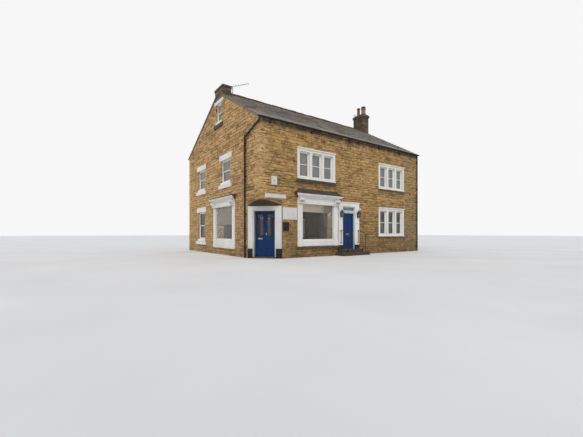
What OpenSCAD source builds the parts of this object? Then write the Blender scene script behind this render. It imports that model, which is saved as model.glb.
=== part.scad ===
// Stone corner shop at the end of a terrace: a splayed shop doorway under a square corner,
// two timber shopfronts, a house door up two steps, three-light windows and two chimneys.
// Millimetres. X runs along the front wall, Y into the building, Z up from the ground.
// The origin is on the ground in the middle of the house.

/* [Building] */
// Length of the front wall
front_len = 12200; // [11900:100:14000]
// Length of the gable wall
gable_len = 10000; // [9400:100:12000]
// Thickness of the stone walls
wall_t = 480; // [380:10:560]
// Height of the front and rear walls
eaves_z = 6400; // [6300:20:7000]
// Distance from the front wall to the ridge
ridge_y = 4700; // [4500:50:5000]
// Height of the ridge above the wall tops
roof_rise = 2780; // [2700:20:3200]
// Thickness of the roof, measured upright
roof_t = 128; // [100:2:180]
// Thickness of the slates on it, measured upright
slate_t = 45; // [30:1:60]
// How far the slates hang over the front and rear walls
eaves_over = 60; // [30:5:70]
// How far the slates hang over the gable
verge_over = 40; // [20:5:80]
// Height of the shop floor above the ground
shop_floor_z = 60; // [30:5:120]
// Height of the house floor and its top step
house_floor_z = 320; // [240:10:340]
// Thickness of the upper floors
deck_t = 200; // [120:10:260]
// Height of the first floor above the corbelled corner
first_floor_rise = 300; // [280:10:500]
// Height of the attic floor above the first floor
attic_floor_rise = 3100; // [2850:10:3200]

/* [Corner doorway] */
// Length that the splay takes from each wall
splay = 1200; // [1150:10:1300]
// Height of the white board over the doorway's frame
head_board_h = 166; // [140:2:220]
// Height of the corbels between the doorway and the square corner
corbel_h = 270; // [260:5:320]
// Thickness of the corbel stones at the square corner
corbel_lip = 40; // [20:5:80]
// Width of one shop door leaf
shop_leaf_w = 500; // [440:5:520]
// Height of the shop door leaves
shop_leaf_h = 2180; // [2050:10:2200]
// How far the shop door leaves lie behind the splay's face
shop_recess = 230; // [120:10:260]
// Width of the shop doors' frame
shop_frame_w = 60; // [50:1:70]
// How far the doorway lies left of the middle of the splay
doorway_shift = 28; // [0:1:40]
// Thickness of the white boards beside and over the doorway
casing_t = 50; // [30:1:70]

/* [House door] */
// Middle of the house door along the front
house_door_x = 5600; // [5580:5:5700]
// Width of the house door leaf
house_leaf_w = 840; // [760:5:860]
// Height of the house door leaf
house_leaf_h = 1955; // [1900:5:2000]
// How far the house door lies behind the wall's face
house_recess = 60; // [50:5:110]
// Width of the house door's frame
house_frame_w = 78; // [60:1:90]
// Height of the bar between the leaf and the transom light
transom_bar_h = 150; // [90:5:170]
// Height of the transom light over the leaf
transom_h = 160; // [130:5:190]
// Width of the white pilaster left of the door
left_pilaster_w = 280; // [220:5:290]
// Width of the white pilaster right of the door
right_pilaster_w = 310; // [260:5:360]
// Height of the black plinth blocks
plinth_block_h = 230; // [150:5:300]
// Thickness of the door leaves
leaf_t = 45; // [40:1:55]
// Gap round a door leaf
leaf_gap = 6; // [5:0.5:9]
// Depth of the lower step, from the wall
lower_step_d = 650; // [560:10:760]
// Depth of the upper step, from the wall
upper_step_d = 330; // [280:10:400]

/* [Shopfronts] */
// Middle of the front shopfront along the front
front_shop_x = 3415; // [3380:5:3440]
// Width of the front shopfront over its pilasters
front_shop_w = 2670; // [2560:10:2700]
// Height of the front shopfront's sill
front_shop_sill_z = 540; // [460:10:640]
// Middle of the gable shopfront, from the corner
gable_shop_y = 3960; // [3900:10:4100]
// Width of the gable shopfront over its pilasters
gable_shop_w = 2820; // [2700:10:2900]
// Height of the gable shopfront's sill
gable_shop_sill_z = 450; // [400:10:560]
// Width of the pilasters
pilaster_w = 280; // [240:5:320]
// How far the pilasters stand out of the wall
pilaster_d = 55; // [40:1:80]
// Height of the glass above the ground
shop_glass_z = 890; // [820:10:960]
// Height of the fascia's lower edge
fascia_rise = 326; // [246:10:386]
// Height of the fascia
fascia_h = 290; // [240:5:320]
// Height of the cornice
cornice_h = 190; // [150:5:220]
// How far the cornice stands out of the wall
cornice_d = 280; // [240:5:320]
// Rise of the lead roof over the cornice
lead_rise = 250; // [180:5:300]
// Height of the stone sill below the front shopfront
shop_sill_h = 120; // [80:5:150]
// Height of one tier of the white sill below the gable shopfront
sill_tier_h = 40; // [25:5:60]
// Width of the scrolled consoles
console_w = 260; // [180:10:260]
// Depth of the scrolled consoles
console_d = 190; // [140:5:200]

/* [Windows] */
// Width of the three-light windows over their surrounds
three_light_w = 2520; // [2400:10:2560]
// Middle of the left three-light window along the front
left_window_x = 3340; // [3300:10:3500]
// Middle of the right three-light windows along the front
right_window_x = 9425; // [9300:10:9600]
// Lower edge of the first-floor surrounds
upper_window_z = 3860; // [3800:10:3950]
// Height of the first-floor surrounds
upper_window_h = 1550; // [1500:10:1600]
// Lower edge of the ground-floor surround
lower_window_z = 990; // [940:10:1050]
// Height of the surround's head stone
surround_head_h = 180; // [140:5:200]
// Height of the surround's bottom stone
surround_foot_h = 115; // [90:5:140]
// Width of the surround's jamb stones
surround_jamb_w = 150; // [120:5:180]
// Width of the stone mullions
mullion_w = 150; // [110:5:180]
// Height of the drip moulding along the top of a surround
drip_h = 55; // [40:5:80]
// How far the drip moulding stands out of the wall
drip_out = 50; // [30:5:70]
// How far the surround's foot stands out of the wall
foot_out = 45; // [20:5:60]
// Height of the brown stone sill below a surround
slim_sill_h = 100; // [80:5:140]
// Depth of the surround stones
surround_d = 220; // [180:5:260]
// How far the window frames lie behind the wall's face
frame_recess = 110; // [60:5:130]
// Width of the timber of the window frames
frame_w = 70; // [50:5:90]
// Depth of the window frames
frame_d = 70; // [50:5:90]
// Thickness of the glass
glass_t = 12; // [6:1:20]
// Width of the sash windows on the gable and rear
sash_w = 1250; // [1150:10:1300]
// Height of the first-floor sash windows
upper_sash_h = 1370; // [1300:10:1400]
// Sill of the first-floor sash windows
upper_sash_z = 3850; // [3800:10:3900]
// Height of the ground-floor sash windows
lower_sash_h = 1860; // [1800:10:1900]
// Sill of the ground-floor sash windows
lower_sash_z = 670; // [600:10:720]
// Height of the lintels
lintel_h = 300; // [240:10:310]
// How far a lintel or sill runs into the wall at each end
lintel_bearing = 190; // [120:10:220]
// Height of the timber sill in a sash window's opening
timber_sill_h = 145; // [110:5:160]
// How far the timber sill stands out of the wall
timber_sill_out = 18; // [10:1:30]
// Height of the sill stones
sill_h = 200; // [150:10:220]
// How far the sill stones stand out of the wall
sill_out = 60; // [40:5:90]
// Width of the attic window
attic_w = 840; // [780:10:900]
// Height of the attic window
attic_h = 1190; // [1100:10:1200]
// Sill of the attic window
attic_z = 7400; // [7350:10:7420]

/* [Chimneys and rainwater] */
ridge_wing = 190; // [150:10:220]
ridge_t = 38; // [30:2:50]
// Width of the gable chimney along the gable
gable_stack_w = 1110; // [1000:10:1200]
// Depth of the gable chimney
gable_stack_d = 520; // [480:10:600]
// Top of the gable chimney above the ridge
gable_stack_h = 185; // [180:5:400]
// Width of the party chimney along its wall
party_stack_w = 1000; // [900:10:1100]
// Depth of the party chimney
party_stack_d = 650; // [600:10:700]
// Top of the party chimney above the ridge
party_stack_h = 1140; // [900:10:1400]
// Height of the red chimney pot
pot_h = 680; // [450:10:800]
// Height of the buff chimney pot
buff_pot_h = 500; // [400:10:700]
// Radius of the gutters
gutter_r = 62; // [50:1:75]
// Radius of the gable's downpipe
gable_pipe_r = 46; // [35:1:50]
// Radius of the other downpipes
pipe_r = 36; // [30:1:45]
// Distance of the gable's downpipe from the corner
gable_pipe_y = 1345; // [1300:5:1360]
// Spacing of the gutter brackets
bracket_pitch = 2550; // [1800:50:3000]

/* [Boards and boxes] */
notice_x = 1210; // [1205:5:1230]
notice_z = 1840; // [1780:10:1900]
notice_w = 830; // [600:10:850]
notice_h = 580; // [400:10:620]
notice_t = 30; // [15:5:40]
plate_x = 250; // [150:10:300]
plate_z = 2820; // [2780:10:2900]
plate_w = 1150; // [800:10:1180]
plate_h = 190; // [150:10:220]
plate_t = 12; // [6:2:20]
letter_box_x = 1230; // [1205:5:1400]
letter_box_z = 1300; // [1200:10:1360]
letter_box_d = 90; // [60:10:120]
bell_box_x = 560; // [400:10:700]
bell_box_z = 3410; // [3300:10:3600]
bell_box_d = 80; // [50:10:110]
wall_box_w = 300; // [220:10:340]
wall_box_h = 410; // [300:10:440]

/* [Hidden] */

front_slope = roof_rise / ridge_y;
rear_slope = roof_rise / (gable_len - ridge_y);
ridge_under_z = eaves_z + roof_rise;
ridge_top_z = ridge_under_z + roof_t;
inner_x1 = front_len - wall_t;
inner_y1 = gable_len - wall_t;

// Walls, as turned by on_wall
FRONT = 0;
GABLE = 1;
REAR = 2;

// Corner doorway, measured along the splay from its middle
splay_w = splay * sqrt(2);
mitre = wall_t * tan(22.5);
shop_pair_w = 2 * shop_leaf_w + 3 * leaf_gap + 2;
doorway_w = shop_pair_w + 2 * shop_frame_w;
doorway_x0 = -doorway_shift - doorway_w / 2;
doorway_x1 = doorway_x0 + doorway_w;
shop_leaf_z = shop_floor_z + leaf_gap + 2;
knuckle_r = 8;
hinge_h = 100;
hinge_play = 0.3;
shop_frame_top_z = shop_leaf_z + shop_leaf_h + leaf_gap + shop_frame_w;
fascia_z = shop_frame_top_z + fascia_rise;
gable_clip_z = [500, 2100, 3900, 5500];
front_clip_z = [300, 2100, 4100, 5900];
splay_head_z = shop_frame_top_z + head_board_h;
corbel_top_z = splay_head_z + corbel_h;
// Air between the doorway's timber and the stones over it
head_play = 1;
case_top_z = splay_head_z - head_play;
// The cove under the square corner, an arc that ends level below the corner
cove_run = splay / sqrt(2);
cove_rise = corbel_h - corbel_lip;
cove_r = (cove_run * cove_run + cove_rise * cove_rise) / (2 * cove_rise);
cove_axis_z = corbel_top_z - corbel_lip - cove_r;

first_floor_z = corbel_top_z + first_floor_rise;
attic_floor_z = first_floor_z + attic_floor_rise;

// House door
house_leaf_z = house_floor_z + leaf_gap + 2;
house_opening_w = house_leaf_w + 2 * leaf_gap + 2 * house_frame_w;
house_x0 = house_door_x - house_opening_w / 2;
house_x1 = house_door_x + house_opening_w / 2;
house_rail_z = house_leaf_z + house_leaf_h + leaf_gap;
house_light_z = house_rail_z + transom_bar_h;
house_head_z = house_light_z + transom_h + house_frame_w;

// Shopfronts: wall, middle, width, sill height
SHOPS = [[FRONT, front_shop_x, front_shop_w, front_shop_sill_z],
    [GABLE, -gable_shop_y, gable_shop_w, gable_shop_sill_z]];
fascia_top_z = fascia_z + fascia_h;
cornice_top_z = fascia_top_z + cornice_h;
// The house door's case ends a little below the shopfront's cornice
house_surround_top_z = fascia_top_z - 30;

// Three-light windows: middle, bottom, height of the surround
THREE_LIGHTS = [[left_window_x, upper_window_z, upper_window_h],
    [right_window_x, upper_window_z, upper_window_h],
    [right_window_x, lower_window_z, corbel_top_z - lower_window_z]];
light_w = (three_light_w - 2 * surround_jamb_w - 2 * mullion_w) / 3;
drip_over = 20;
slim_sill_over = 60;
slim_sill_out = 12;

// Sash windows: wall, middle, width, sill height, height, lintel height
gable_near_y = 3810;
gable_far_y = 7555;
attic_y = ridge_y + 20;
attic_lintel_h = 190;
rear_window_pitch = 3600;
SASHES = concat(
    [[GABLE, -gable_near_y, sash_w, upper_sash_z, upper_sash_h, lintel_h],
     [GABLE, -gable_far_y, sash_w, upper_sash_z, upper_sash_h, lintel_h],
     [GABLE, -gable_far_y, sash_w, lower_sash_z, lower_sash_h, lintel_h],
     [GABLE, -attic_y, attic_w, attic_z, attic_h, attic_lintel_h]],
    [for (i = [-1:1]) [REAR, front_len / 2 + i * rear_window_pitch, sash_w, upper_sash_z,
        upper_sash_h, lintel_h]],
    [for (i = [-1:1]) [REAR, front_len / 2 + i * rear_window_pitch, sash_w, lower_sash_z,
        lower_sash_h, lintel_h]]);
lintel_d = 220;
lintel_proud = 8;

// Chimneys
gable_stack_y0 = ridge_y - gable_stack_w / 2;
gable_stack_y1 = ridge_y + gable_stack_w / 2;
party_stack_y0 = ridge_y - party_stack_w / 2;
party_stack_y1 = ridge_y + party_stack_w / 2;
party_stack_x0 = front_len - party_stack_d;
stack_cap_h = 120;
stack_seat = 40;

// Rainwater goods
gutter_wall = 4;
gutter_y = -75;
gutter_z = eaves_z + roof_t - slate_t - front_slope * eaves_over - 10;
gutter_bottom_z = gutter_z - gutter_r;
gable_pipe_x = -80;
front_pipe_x = front_len - 150;
outlet_h = 60;
swan_foot_z = 5820;
pipe_foot_z = 20;

function roof_under(y) = y <= ridge_y ? eaves_z + front_slope * y
    : eaves_z + rear_slope * (gable_len - y);
function stack_foot(y0, y1) = min(roof_under(y0), roof_under(y1)) - stack_seat;

// Puts what was measured from the square corner into the frame of the house
module in_house() translate([-front_len / 2, -gable_len / 2, 0]) children();

// A box from one corner to the other
module box(a, b) translate(a) cube(b - a);

// Turns a piece drawn on the front wall onto another wall, seen from outside
module on_wall(wall) {
    if (wall == FRONT) children();
    if (wall == GABLE) rotate([0, 0, -90]) children();
    if (wall == REAR) translate([front_len, gable_len, 0]) rotate([0, 0, 180]) children();
}

// Puts a piece on the splay: X to the right along it, Y into the building
module on_splay() translate([splay / 2, splay / 2, 0]) rotate([0, 0, -45]) children();

// Extrudes an outline drawn in Y and Z along X
module along_x(x0, x1) translate([x0, 0, 0]) rotate([90, 0, 90]) linear_extrude(x1 - x0) children();

// A flat ring of timber: outer size, width of its members
module frame(x0, z0, x1, z1, y0, y1, w) {
    difference() {
        box([x0, y0, z0], [x1, y1, z1]);
        box([x0 + w, y0 - 1, z0 + w], [x1 - w, y1 + 1, z1 - w]);
    }
}

// A straight pipe between two points in one upright plane across Y
module pipe(a, b, r) {
    d = b - a;
    translate(a) rotate([atan2(-d.y, d.z), 0, 0]) cylinder(h = norm(d), r = r, $fn = 48);
}

// What the windows, lintels and sills take out of a wall
module sash_cuts(wall) {
    for (s = SASHES) if (s[0] == wall) {
        x0 = s[1] - s[2] / 2;
        x1 = s[1] + s[2] / 2;
        box([x0, -20, s[3]], [x1, wall_t + 20, s[3] + s[4]]);
        box([x0 - lintel_bearing, -20, s[3] + s[4] - 1],
            [x1 + lintel_bearing, lintel_d, s[3] + s[4] + s[5]]);
        box([x0 - lintel_bearing, -20, s[3] - sill_h], [x1 + lintel_bearing, lintel_d, s[3] + 1]);
    }
}

module shop_cut(shop) {
    half = shop[2] / 2 - pilaster_w + 40;
    box([shop[1] - half, -20, shop[3]], [shop[1] + half, wall_t + 20, fascia_z + 60]);
}

// Flagged floors: the shop's near the ground, the house's level with its top step
module ground_floor() color("gray") in_house() {
    difference() {
        union() {
            box([wall_t, wall_t, 0], [inner_x1, inner_y1, shop_floor_z]);
            box([house_x0 - 150, wall_t, 0], [inner_x1, inner_y1, house_floor_z]);
        }
        on_splay() box([-splay, -splay, -1], [splay, wall_t, house_floor_z + 1]);
    }
    box([house_x0, 0, 0], [house_x1, wall_t + 1, house_floor_z]);
}

module floor_deck(top_z) box([wall_t, wall_t, top_z - deck_t], [inner_x1, inner_y1, top_z]);

module first_floor() color("burlywood") in_house() floor_deck(first_floor_z);

module attic_floor() color("burlywood") in_house() floor_deck(attic_floor_z);

// The ground-floor wall between the splay and the house door, round the shopfront
module front_wall_shop_side() color("peru") in_house() difference() {
    linear_extrude(corbel_top_z)
        polygon([[splay, 0], [house_x0, 0], [house_x0, wall_t], [splay + mitre, wall_t]]);
    shop_cut(SHOPS[0]);
}

module front_wall_window_side() color("peru") in_house() difference() {
    box([house_x1, 0, 0], [front_len, wall_t, corbel_top_z]);
    box([right_window_x - three_light_w / 2, -1, lower_window_z],
        [right_window_x + three_light_w / 2, wall_t + 1, corbel_top_z + 1]);
    box([right_window_x - three_light_w / 2 - slim_sill_over, -1, lower_window_z - slim_sill_h],
        [right_window_x + three_light_w / 2 + slim_sill_over, surround_d, lower_window_z + 1]);
}

// The front wall over both, with the stone over the house door
module front_wall_upper() color("peru") in_house() difference() {
    union() {
        along_x(0, front_len) polygon([[0, corbel_top_z], [wall_t, corbel_top_z],
            [wall_t, roof_under(wall_t)], [0, eaves_z]]);
        box([house_x0, 0, corbel_top_z - lintel_h], [house_x1, wall_t, corbel_top_z + 1]);
    }
    for (w = THREE_LIGHTS) if (w[1] > corbel_top_z) {
        box([w[0] - three_light_w / 2, -1, w[1]], [w[0] + three_light_w / 2, wall_t + 1, w[1] + w[2]]);
        box([w[0] - three_light_w / 2 - slim_sill_over, -1, w[1] - slim_sill_h],
            [w[0] + three_light_w / 2 + slim_sill_over, surround_d, w[1] + 1]);
    }
    box([house_x0 - 1, -1, corbel_top_z - lintel_h - 1], [house_x1 + 1, wall_t + 1, house_head_z]);
}

module gable_wall_ground() color("peru") in_house() difference() {
    linear_extrude(corbel_top_z)
        polygon([[0, splay], [wall_t, splay + mitre], [wall_t, gable_len], [0, gable_len]]);
    on_wall(GABLE) {
        sash_cuts(GABLE);
        shop_cut(SHOPS[1]);
    }
}

module gable_wall_upper() color("peru") in_house() difference() {
    along_x(0, wall_t) polygon([[wall_t, corbel_top_z], [gable_len, corbel_top_z],
        [gable_len, eaves_z], [ridge_y, ridge_under_z], [wall_t, roof_under(wall_t)]]);
    on_wall(GABLE) sash_cuts(GABLE);
    box([-1, gable_stack_y0, stack_foot(gable_stack_y0, gable_stack_y1)],
        [wall_t + 1, gable_stack_y1, ridge_top_z]);
}

module rear_wall() color("peru") in_house() difference() {
    along_x(wall_t, front_len) polygon([[inner_y1, 0], [gable_len, 0], [gable_len, eaves_z],
        [inner_y1, roof_under(inner_y1)]]);
    on_wall(REAR) sash_cuts(REAR);
}

module party_wall() color("peru") in_house() difference() {
    along_x(inner_x1, front_len) polygon([[wall_t, 0], [inner_y1, 0],
        [inner_y1, roof_under(inner_y1)], [ridge_y, ridge_under_z], [wall_t, roof_under(wall_t)]]);
    box([inner_x1 - 1, party_stack_y0, stack_foot(party_stack_y0, party_stack_y1)],
        [front_len + 1, party_stack_y1, ridge_top_z]);
}

// The stone beside the corner doorway, mitred into both walls
module corner_piers() color("peru") in_house() difference() {
    linear_extrude(splay_head_z)
        polygon([[splay, 0], [splay + mitre, wall_t], [wall_t, splay + mitre], [0, splay]]);
    on_splay() box([doorway_x0, -1, -1], [doorway_x1, wall_t + 1, splay_head_z + 1]);
}

// The stones that carry the square corner over the splay, hollowed below to a cove
module corner_corbel() color("darkslategray") in_house() difference() {
    translate([0, 0, splay_head_z]) linear_extrude(corbel_h)
        polygon([[0, 0], [splay, 0], [splay + mitre, wall_t], [wall_t, splay + mitre], [0, splay]]);
    on_splay() translate([-splay_w, -cove_run, cove_axis_z]) rotate([0, 90, 0])
        cylinder(h = 2 * splay_w, r = cove_r, $fn = 128);
}

module stack_cuts() {
    box([-verge_over - 1, gable_stack_y0, eaves_z], [gable_stack_d, gable_stack_y1, ridge_top_z + 1]);
    box([party_stack_x0, party_stack_y0, eaves_z], [front_len + 1, party_stack_y1, ridge_top_z + 1]);
}

// One slope of the roof, with its slates run out past the wall
module roof_slope(run, slope) {
    slate_under_z = eaves_z + roof_t - slate_t;
    polygon([[run, eaves_z + roof_rise], [0, eaves_z], [0, slate_under_z],
        [-eaves_over, slate_under_z - slope * eaves_over],
        [-eaves_over, slate_under_z + slate_t - slope * eaves_over],
        [run, eaves_z + roof_rise + roof_t]]);
}

module roof_front_slope() color("dimgray") in_house() difference() {
    along_x(-verge_over, front_len) roof_slope(ridge_y, front_slope);
    stack_cuts();
}

module roof_rear_slope() color("dimgray") in_house() difference() {
    along_x(-verge_over, front_len)
        translate([gable_len, 0]) mirror([1, 0]) roof_slope(gable_len - ridge_y, rear_slope);
    stack_cuts();
}

// Angled ridge stones over the joint of the two slopes
module ridge_tiles() color("darkslategray") in_house() {
    along_x(gable_stack_d, party_stack_x0) polygon([
        [ridge_y, ridge_top_z], [ridge_y - ridge_wing, ridge_top_z - front_slope * ridge_wing],
        [ridge_y - ridge_wing, ridge_top_z - front_slope * ridge_wing + ridge_t],
        [ridge_y - 30, ridge_top_z + ridge_t + 18 - front_slope * 30],
        [ridge_y, ridge_top_z + ridge_t + 10],
        [ridge_y + 30, ridge_top_z + ridge_t + 18 - rear_slope * 30],
        [ridge_y + ridge_wing, ridge_top_z - rear_slope * ridge_wing + ridge_t],
        [ridge_y + ridge_wing, ridge_top_z - rear_slope * ridge_wing]]);
}

module gable_chimney() color("peru") in_house() {
    foot_z = stack_foot(gable_stack_y0, gable_stack_y1);
    top_z = ridge_top_z + gable_stack_h;
    box([0, gable_stack_y0, foot_z], [gable_stack_d, gable_stack_y1, top_z - stack_cap_h]);
    box([-30, gable_stack_y0 - 30, top_z - stack_cap_h],
        [gable_stack_d + 30, gable_stack_y1 + 30, top_z]);
}

module party_chimney() color("peru") in_house() {
    foot_z = stack_foot(party_stack_y0, party_stack_y1);
    top_z = ridge_top_z + party_stack_h;
    box([party_stack_x0, party_stack_y0, foot_z], [front_len, party_stack_y1, top_z]);
    box([party_stack_x0 - 45, party_stack_y0 - 45, top_z - 230],
        [front_len + 45, party_stack_y1 + 45, top_z - 80]);
}

module pot(r, h) rotate_extrude($fn = 64) polygon([[r - 30, 0], [r + 12, 0], [r + 12, 50],
    [r, 90], [r - 14, h - 90], [r + 8, h - 80], [r + 14, h - 50], [r + 8, h], [r - 38, h]]);

pot_x = front_len - party_stack_d / 2;
pot_z = ridge_top_z + party_stack_h;
red_pot_r = 118;
buff_pot_r = 175;

module chimney_pots() color("firebrick") in_house() {
    translate([pot_x, ridge_y + party_stack_w / 4, pot_z]) pot(red_pot_r, pot_h);
    translate([pot_x, ridge_y - party_stack_w / 4, pot_z]) pot(buff_pot_r, buff_pot_h);
}

// A metal cowl with a flat lid on the buff pot
module pot_cowl() color("black") in_house()
    translate([pot_x, ridge_y - party_stack_w / 4, pot_z + buff_pot_h]) rotate_extrude($fn = 64)
        polygon([[0, 90], [buff_pot_r - 32, 90], [buff_pot_r - 32, 0], [buff_pot_r - 5, 0],
            [buff_pot_r - 5, 95], [buff_pot_r + 8, 110], [buff_pot_r - 40, 150], [0, 165]]);

// A half-round gutter along X, with its straps on the wall
module gutter(x0, x1) {
    along_x(x0, x1) translate([gutter_y, gutter_z]) difference() {
        circle(gutter_r, $fn = 64);
        circle(gutter_r - gutter_wall, $fn = 64);
        translate([-100, 0]) square([200, 100]);
    }
    for (x = [x0, x1 - gutter_wall]) along_x(x, x + gutter_wall)
        translate([gutter_y, gutter_z]) difference() {
            circle(gutter_r - 1, $fn = 64);
            translate([-100, 0]) square([200, 100]);
        }
    first = 530;
    count = floor((front_len - first) / bracket_pitch);
    for (i = [0:count]) {
        x = first + i * bracket_pitch;
        along_x(x - 20, x + 20) translate([gutter_y, gutter_z]) difference() {
            circle(gutter_r + 8, $fn = 64);
            circle(gutter_r - 1, $fn = 64);
            translate([-100, -10]) square([200, 110]);
        }
        box([x - 20, gutter_y + gutter_r - 4, gutter_z - 130], [x + 20, 0, gutter_z - 12]);
    }
}

module front_gutter() color("#202022") in_house() {
    gutter(gable_pipe_x - gutter_r, front_len);
    translate([gable_pipe_x, gutter_y, gutter_bottom_z - outlet_h])
        cylinder(h = outlet_h + 3, r = gable_pipe_r - 4, $fn = 48);
    translate([front_pipe_x, gutter_y, gutter_bottom_z - outlet_h])
        cylinder(h = outlet_h + 3, r = pipe_r - 2, $fn = 48);
}

module rear_gutter() color("#202022") in_house() on_wall(REAR) gutter(0, front_len + verge_over);

// A clip that holds a pipe to the wall behind it, wall on the +Y side
module pipe_clip(r, stand) {
    cylinder(h = 45, r = r + 6, $fn = 48);
    translate([-18, 0, 0]) cube([36, stand, 45]);
    translate([-r - 25, stand - 8, 0]) cube([2 * r + 50, 8, 45]);
}

// Swan neck from the gutter's end round onto the gable, then straight down
module gable_downpipe() color("#2a2422") in_house() {
    neck = [gable_pipe_x, gutter_y, gutter_bottom_z - outlet_h];
    bend = [gable_pipe_x, gable_pipe_y, swan_foot_z];
    pipe(neck - [0, 0, 60], neck, gable_pipe_r);
    translate(neck - [0, 0, 60]) sphere(gable_pipe_r + 5, $fn = 48);
    pipe(neck - [0, 0, 60], bend, gable_pipe_r);
    translate(bend) sphere(gable_pipe_r + 5, $fn = 48);
    translate([gable_pipe_x, gable_pipe_y, pipe_foot_z])
        cylinder(h = swan_foot_z - pipe_foot_z, r = gable_pipe_r, $fn = 48);
    for (z = gable_clip_z) translate([gable_pipe_x, gable_pipe_y, z])
        rotate([0, 0, -90]) pipe_clip(gable_pipe_r, -gable_pipe_x);
}

module front_downpipe() color("#202022") in_house() translate([front_pipe_x, gutter_y, 0]) {
    translate([0, 0, pipe_foot_z])
        cylinder(h = gutter_bottom_z - outlet_h - pipe_foot_z, r = pipe_r, $fn = 48);
    for (z = front_clip_z) translate([0, 0, z]) pipe_clip(pipe_r, -gutter_y);
}

// Boards beside the glass, from the sill to the top of the fascia, with a sunk reeded panel
base_h = 170;
cap_drop = 60;
panel_margin = 50;
panel_sink = 14;
reed_w = 22;
reed_pitch = 52;
module shopfront_pilasters() color("white") in_house() for (s = SHOPS) on_wall(s[0])
    for (side = [-1, 1]) translate([s[1] + side * (s[2] - pilaster_w) / 2, 0, 0]) {
        panel = [pilaster_w / 2 - panel_margin, s[3] + base_h + panel_margin,
            fascia_z - cap_drop - panel_margin];
        difference() {
            box([-pilaster_w / 2, -pilaster_d, s[3]], [pilaster_w / 2, 0, fascia_top_z]);
            box([-panel.x, -pilaster_d - 1, panel.y], [panel.x, -pilaster_d + panel_sink, panel.z]);
        }
        for (i = [-1:1]) box([i * reed_pitch - reed_w / 2, -pilaster_d, panel.y],
            [i * reed_pitch + reed_w / 2, -pilaster_d + panel_sink + 1, panel.z]);
        box([-pilaster_w / 2 - 12, -pilaster_d - 18, s[3]], [pilaster_w / 2 + 12, 0, s[3] + base_h]);
        box([-pilaster_w / 2 - 10, -pilaster_d - 15, fascia_z - cap_drop],
            [pilaster_w / 2 + 10, 0, fascia_z - cap_drop + 40]);
    }

// Scrolled brackets under the ends of the cornice
module shopfront_consoles() color("white") in_house() for (s = SHOPS) on_wall(s[0])
    for (side = [-1, 1])
        translate([s[1] + side * (s[2] - pilaster_w) / 2, -pilaster_d, fascia_z - 20]) {
            along_x(-console_w / 2, console_w / 2) console_profile(fascia_h + 20, console_d);
            along_x(-console_w / 2 - 8, console_w / 2 + 8)
                translate([-console_d - 6, fascia_h - 8]) square([console_d + 6, 28]);
        }

// Outline of a console: a big scroll at the top, a small one at the foot
module console_profile(h, d) {
    difference() {
        union() {
            translate([-d / 2, h - d / 2]) circle(d / 2, $fn = 64);
            polygon([[0, 0], [0, h], [-d / 2, h], [-d * 0.95, h - d * 0.7], [-d * 0.36, h * 0.22],
                [-d * 0.3, 0]]);
            translate([-d * 0.3, d * 0.22]) circle(d * 0.22, $fn = 48);
        }
        translate([0, -d]) square([d, 3 * h]);
        translate([-2 * d, -d]) square([3 * d, d]);
    }
}

module shopfront_fascias() color("white") in_house() for (s = SHOPS) on_wall(s[0]) {
    half = s[2] / 2 - pilaster_w;
    box([s[1] - half, -pilaster_d - 10, fascia_z], [s[1] + half, 0, fascia_top_z]);
    box([s[1] - half, -pilaster_d - 34, fascia_z], [s[1] + half, -pilaster_d - 10, fascia_z + 34]);
}

// Outline of the cornice, growing out of the wall as it rises
function cornice_points(h, d) = concat([[0, 0], [-d * 0.34, 0], [-d * 0.34, h * 0.16]],
    [for (a = [0:15:90]) [-d * 0.34 - d * 0.3 * (1 - cos(a)), h * 0.16 + h * 0.36 * sin(a)]],
    [[-d * 0.86, h * 0.52], [-d * 0.86, h * 0.76], [-d, h * 0.8], [-d, h], [0, h]]);

// The cornice runs along the front and returns to the wall at both ends
module shopfront_cornices() color("white") in_house() for (s = SHOPS) on_wall(s[0])
    translate([s[1], 0, fascia_top_z]) {
        half = s[2] / 2 + cornice_d * 0.66 + 20;
        intersection() {
            along_x(-half, half) polygon(cornice_points(cornice_h, cornice_d));
            linear_extrude(cornice_h) polygon([[-half, -cornice_d], [half, -cornice_d],
                [half - cornice_d, 0], [-half + cornice_d, 0]]);
        }
        for (side = [-1, 1]) intersection() {
            translate([side * (half - cornice_d), 0, 0]) rotate([0, 0, 90 * side])
                along_x(-cornice_d, 0) scale([side, 1, 1]) mirror([1, 0])
                    polygon(cornice_points(cornice_h, cornice_d));
            linear_extrude(cornice_h) polygon([[side * half, -cornice_d], [side * half, 0],
                [side * (half - cornice_d), 0]]);
        }
    }

module shopfront_lead_roofs() color("darkslategray") in_house() for (s = SHOPS) on_wall(s[0])
    translate([s[1], 0, cornice_top_z]) {
        half = s[2] / 2 + cornice_d * 0.66 + 20;
        lip = 22;
        intersection() {
            along_x(-half, half)
                polygon([[0, 0], [0, lead_rise], [-cornice_d - 12, lip], [-cornice_d - 12, 0]]);
            translate([0, 1, 0]) rotate([90, 0, 0]) linear_extrude(cornice_d + 20)
                polygon([[-half, 0], [-half, lip], [-half + cornice_d, lead_rise + lip],
                    [half - cornice_d, lead_rise + lip], [half, lip], [half, 0]]);
        }
    }

module shop_light(s) {
    half = s[2] / 2 - pilaster_w + 40;
    x0 = s[1] - half;
    x1 = s[1] + half;
    frame(x0, shop_glass_z - frame_w, x1, fascia_z + 60, 20, 20 + frame_d, frame_w);
}

module shopfront_sashes() color("white") in_house() for (s = SHOPS) on_wall(s[0]) shop_light(s);

module shopfront_glass() color("lightblue") in_house() for (s = SHOPS) on_wall(s[0]) {
    half = s[2] / 2 - pilaster_w + 40 - frame_w;
    box([s[1] - half, 50, shop_glass_z], [s[1] + half, 50 + glass_t, fascia_z + 60 - frame_w]);
}

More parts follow.
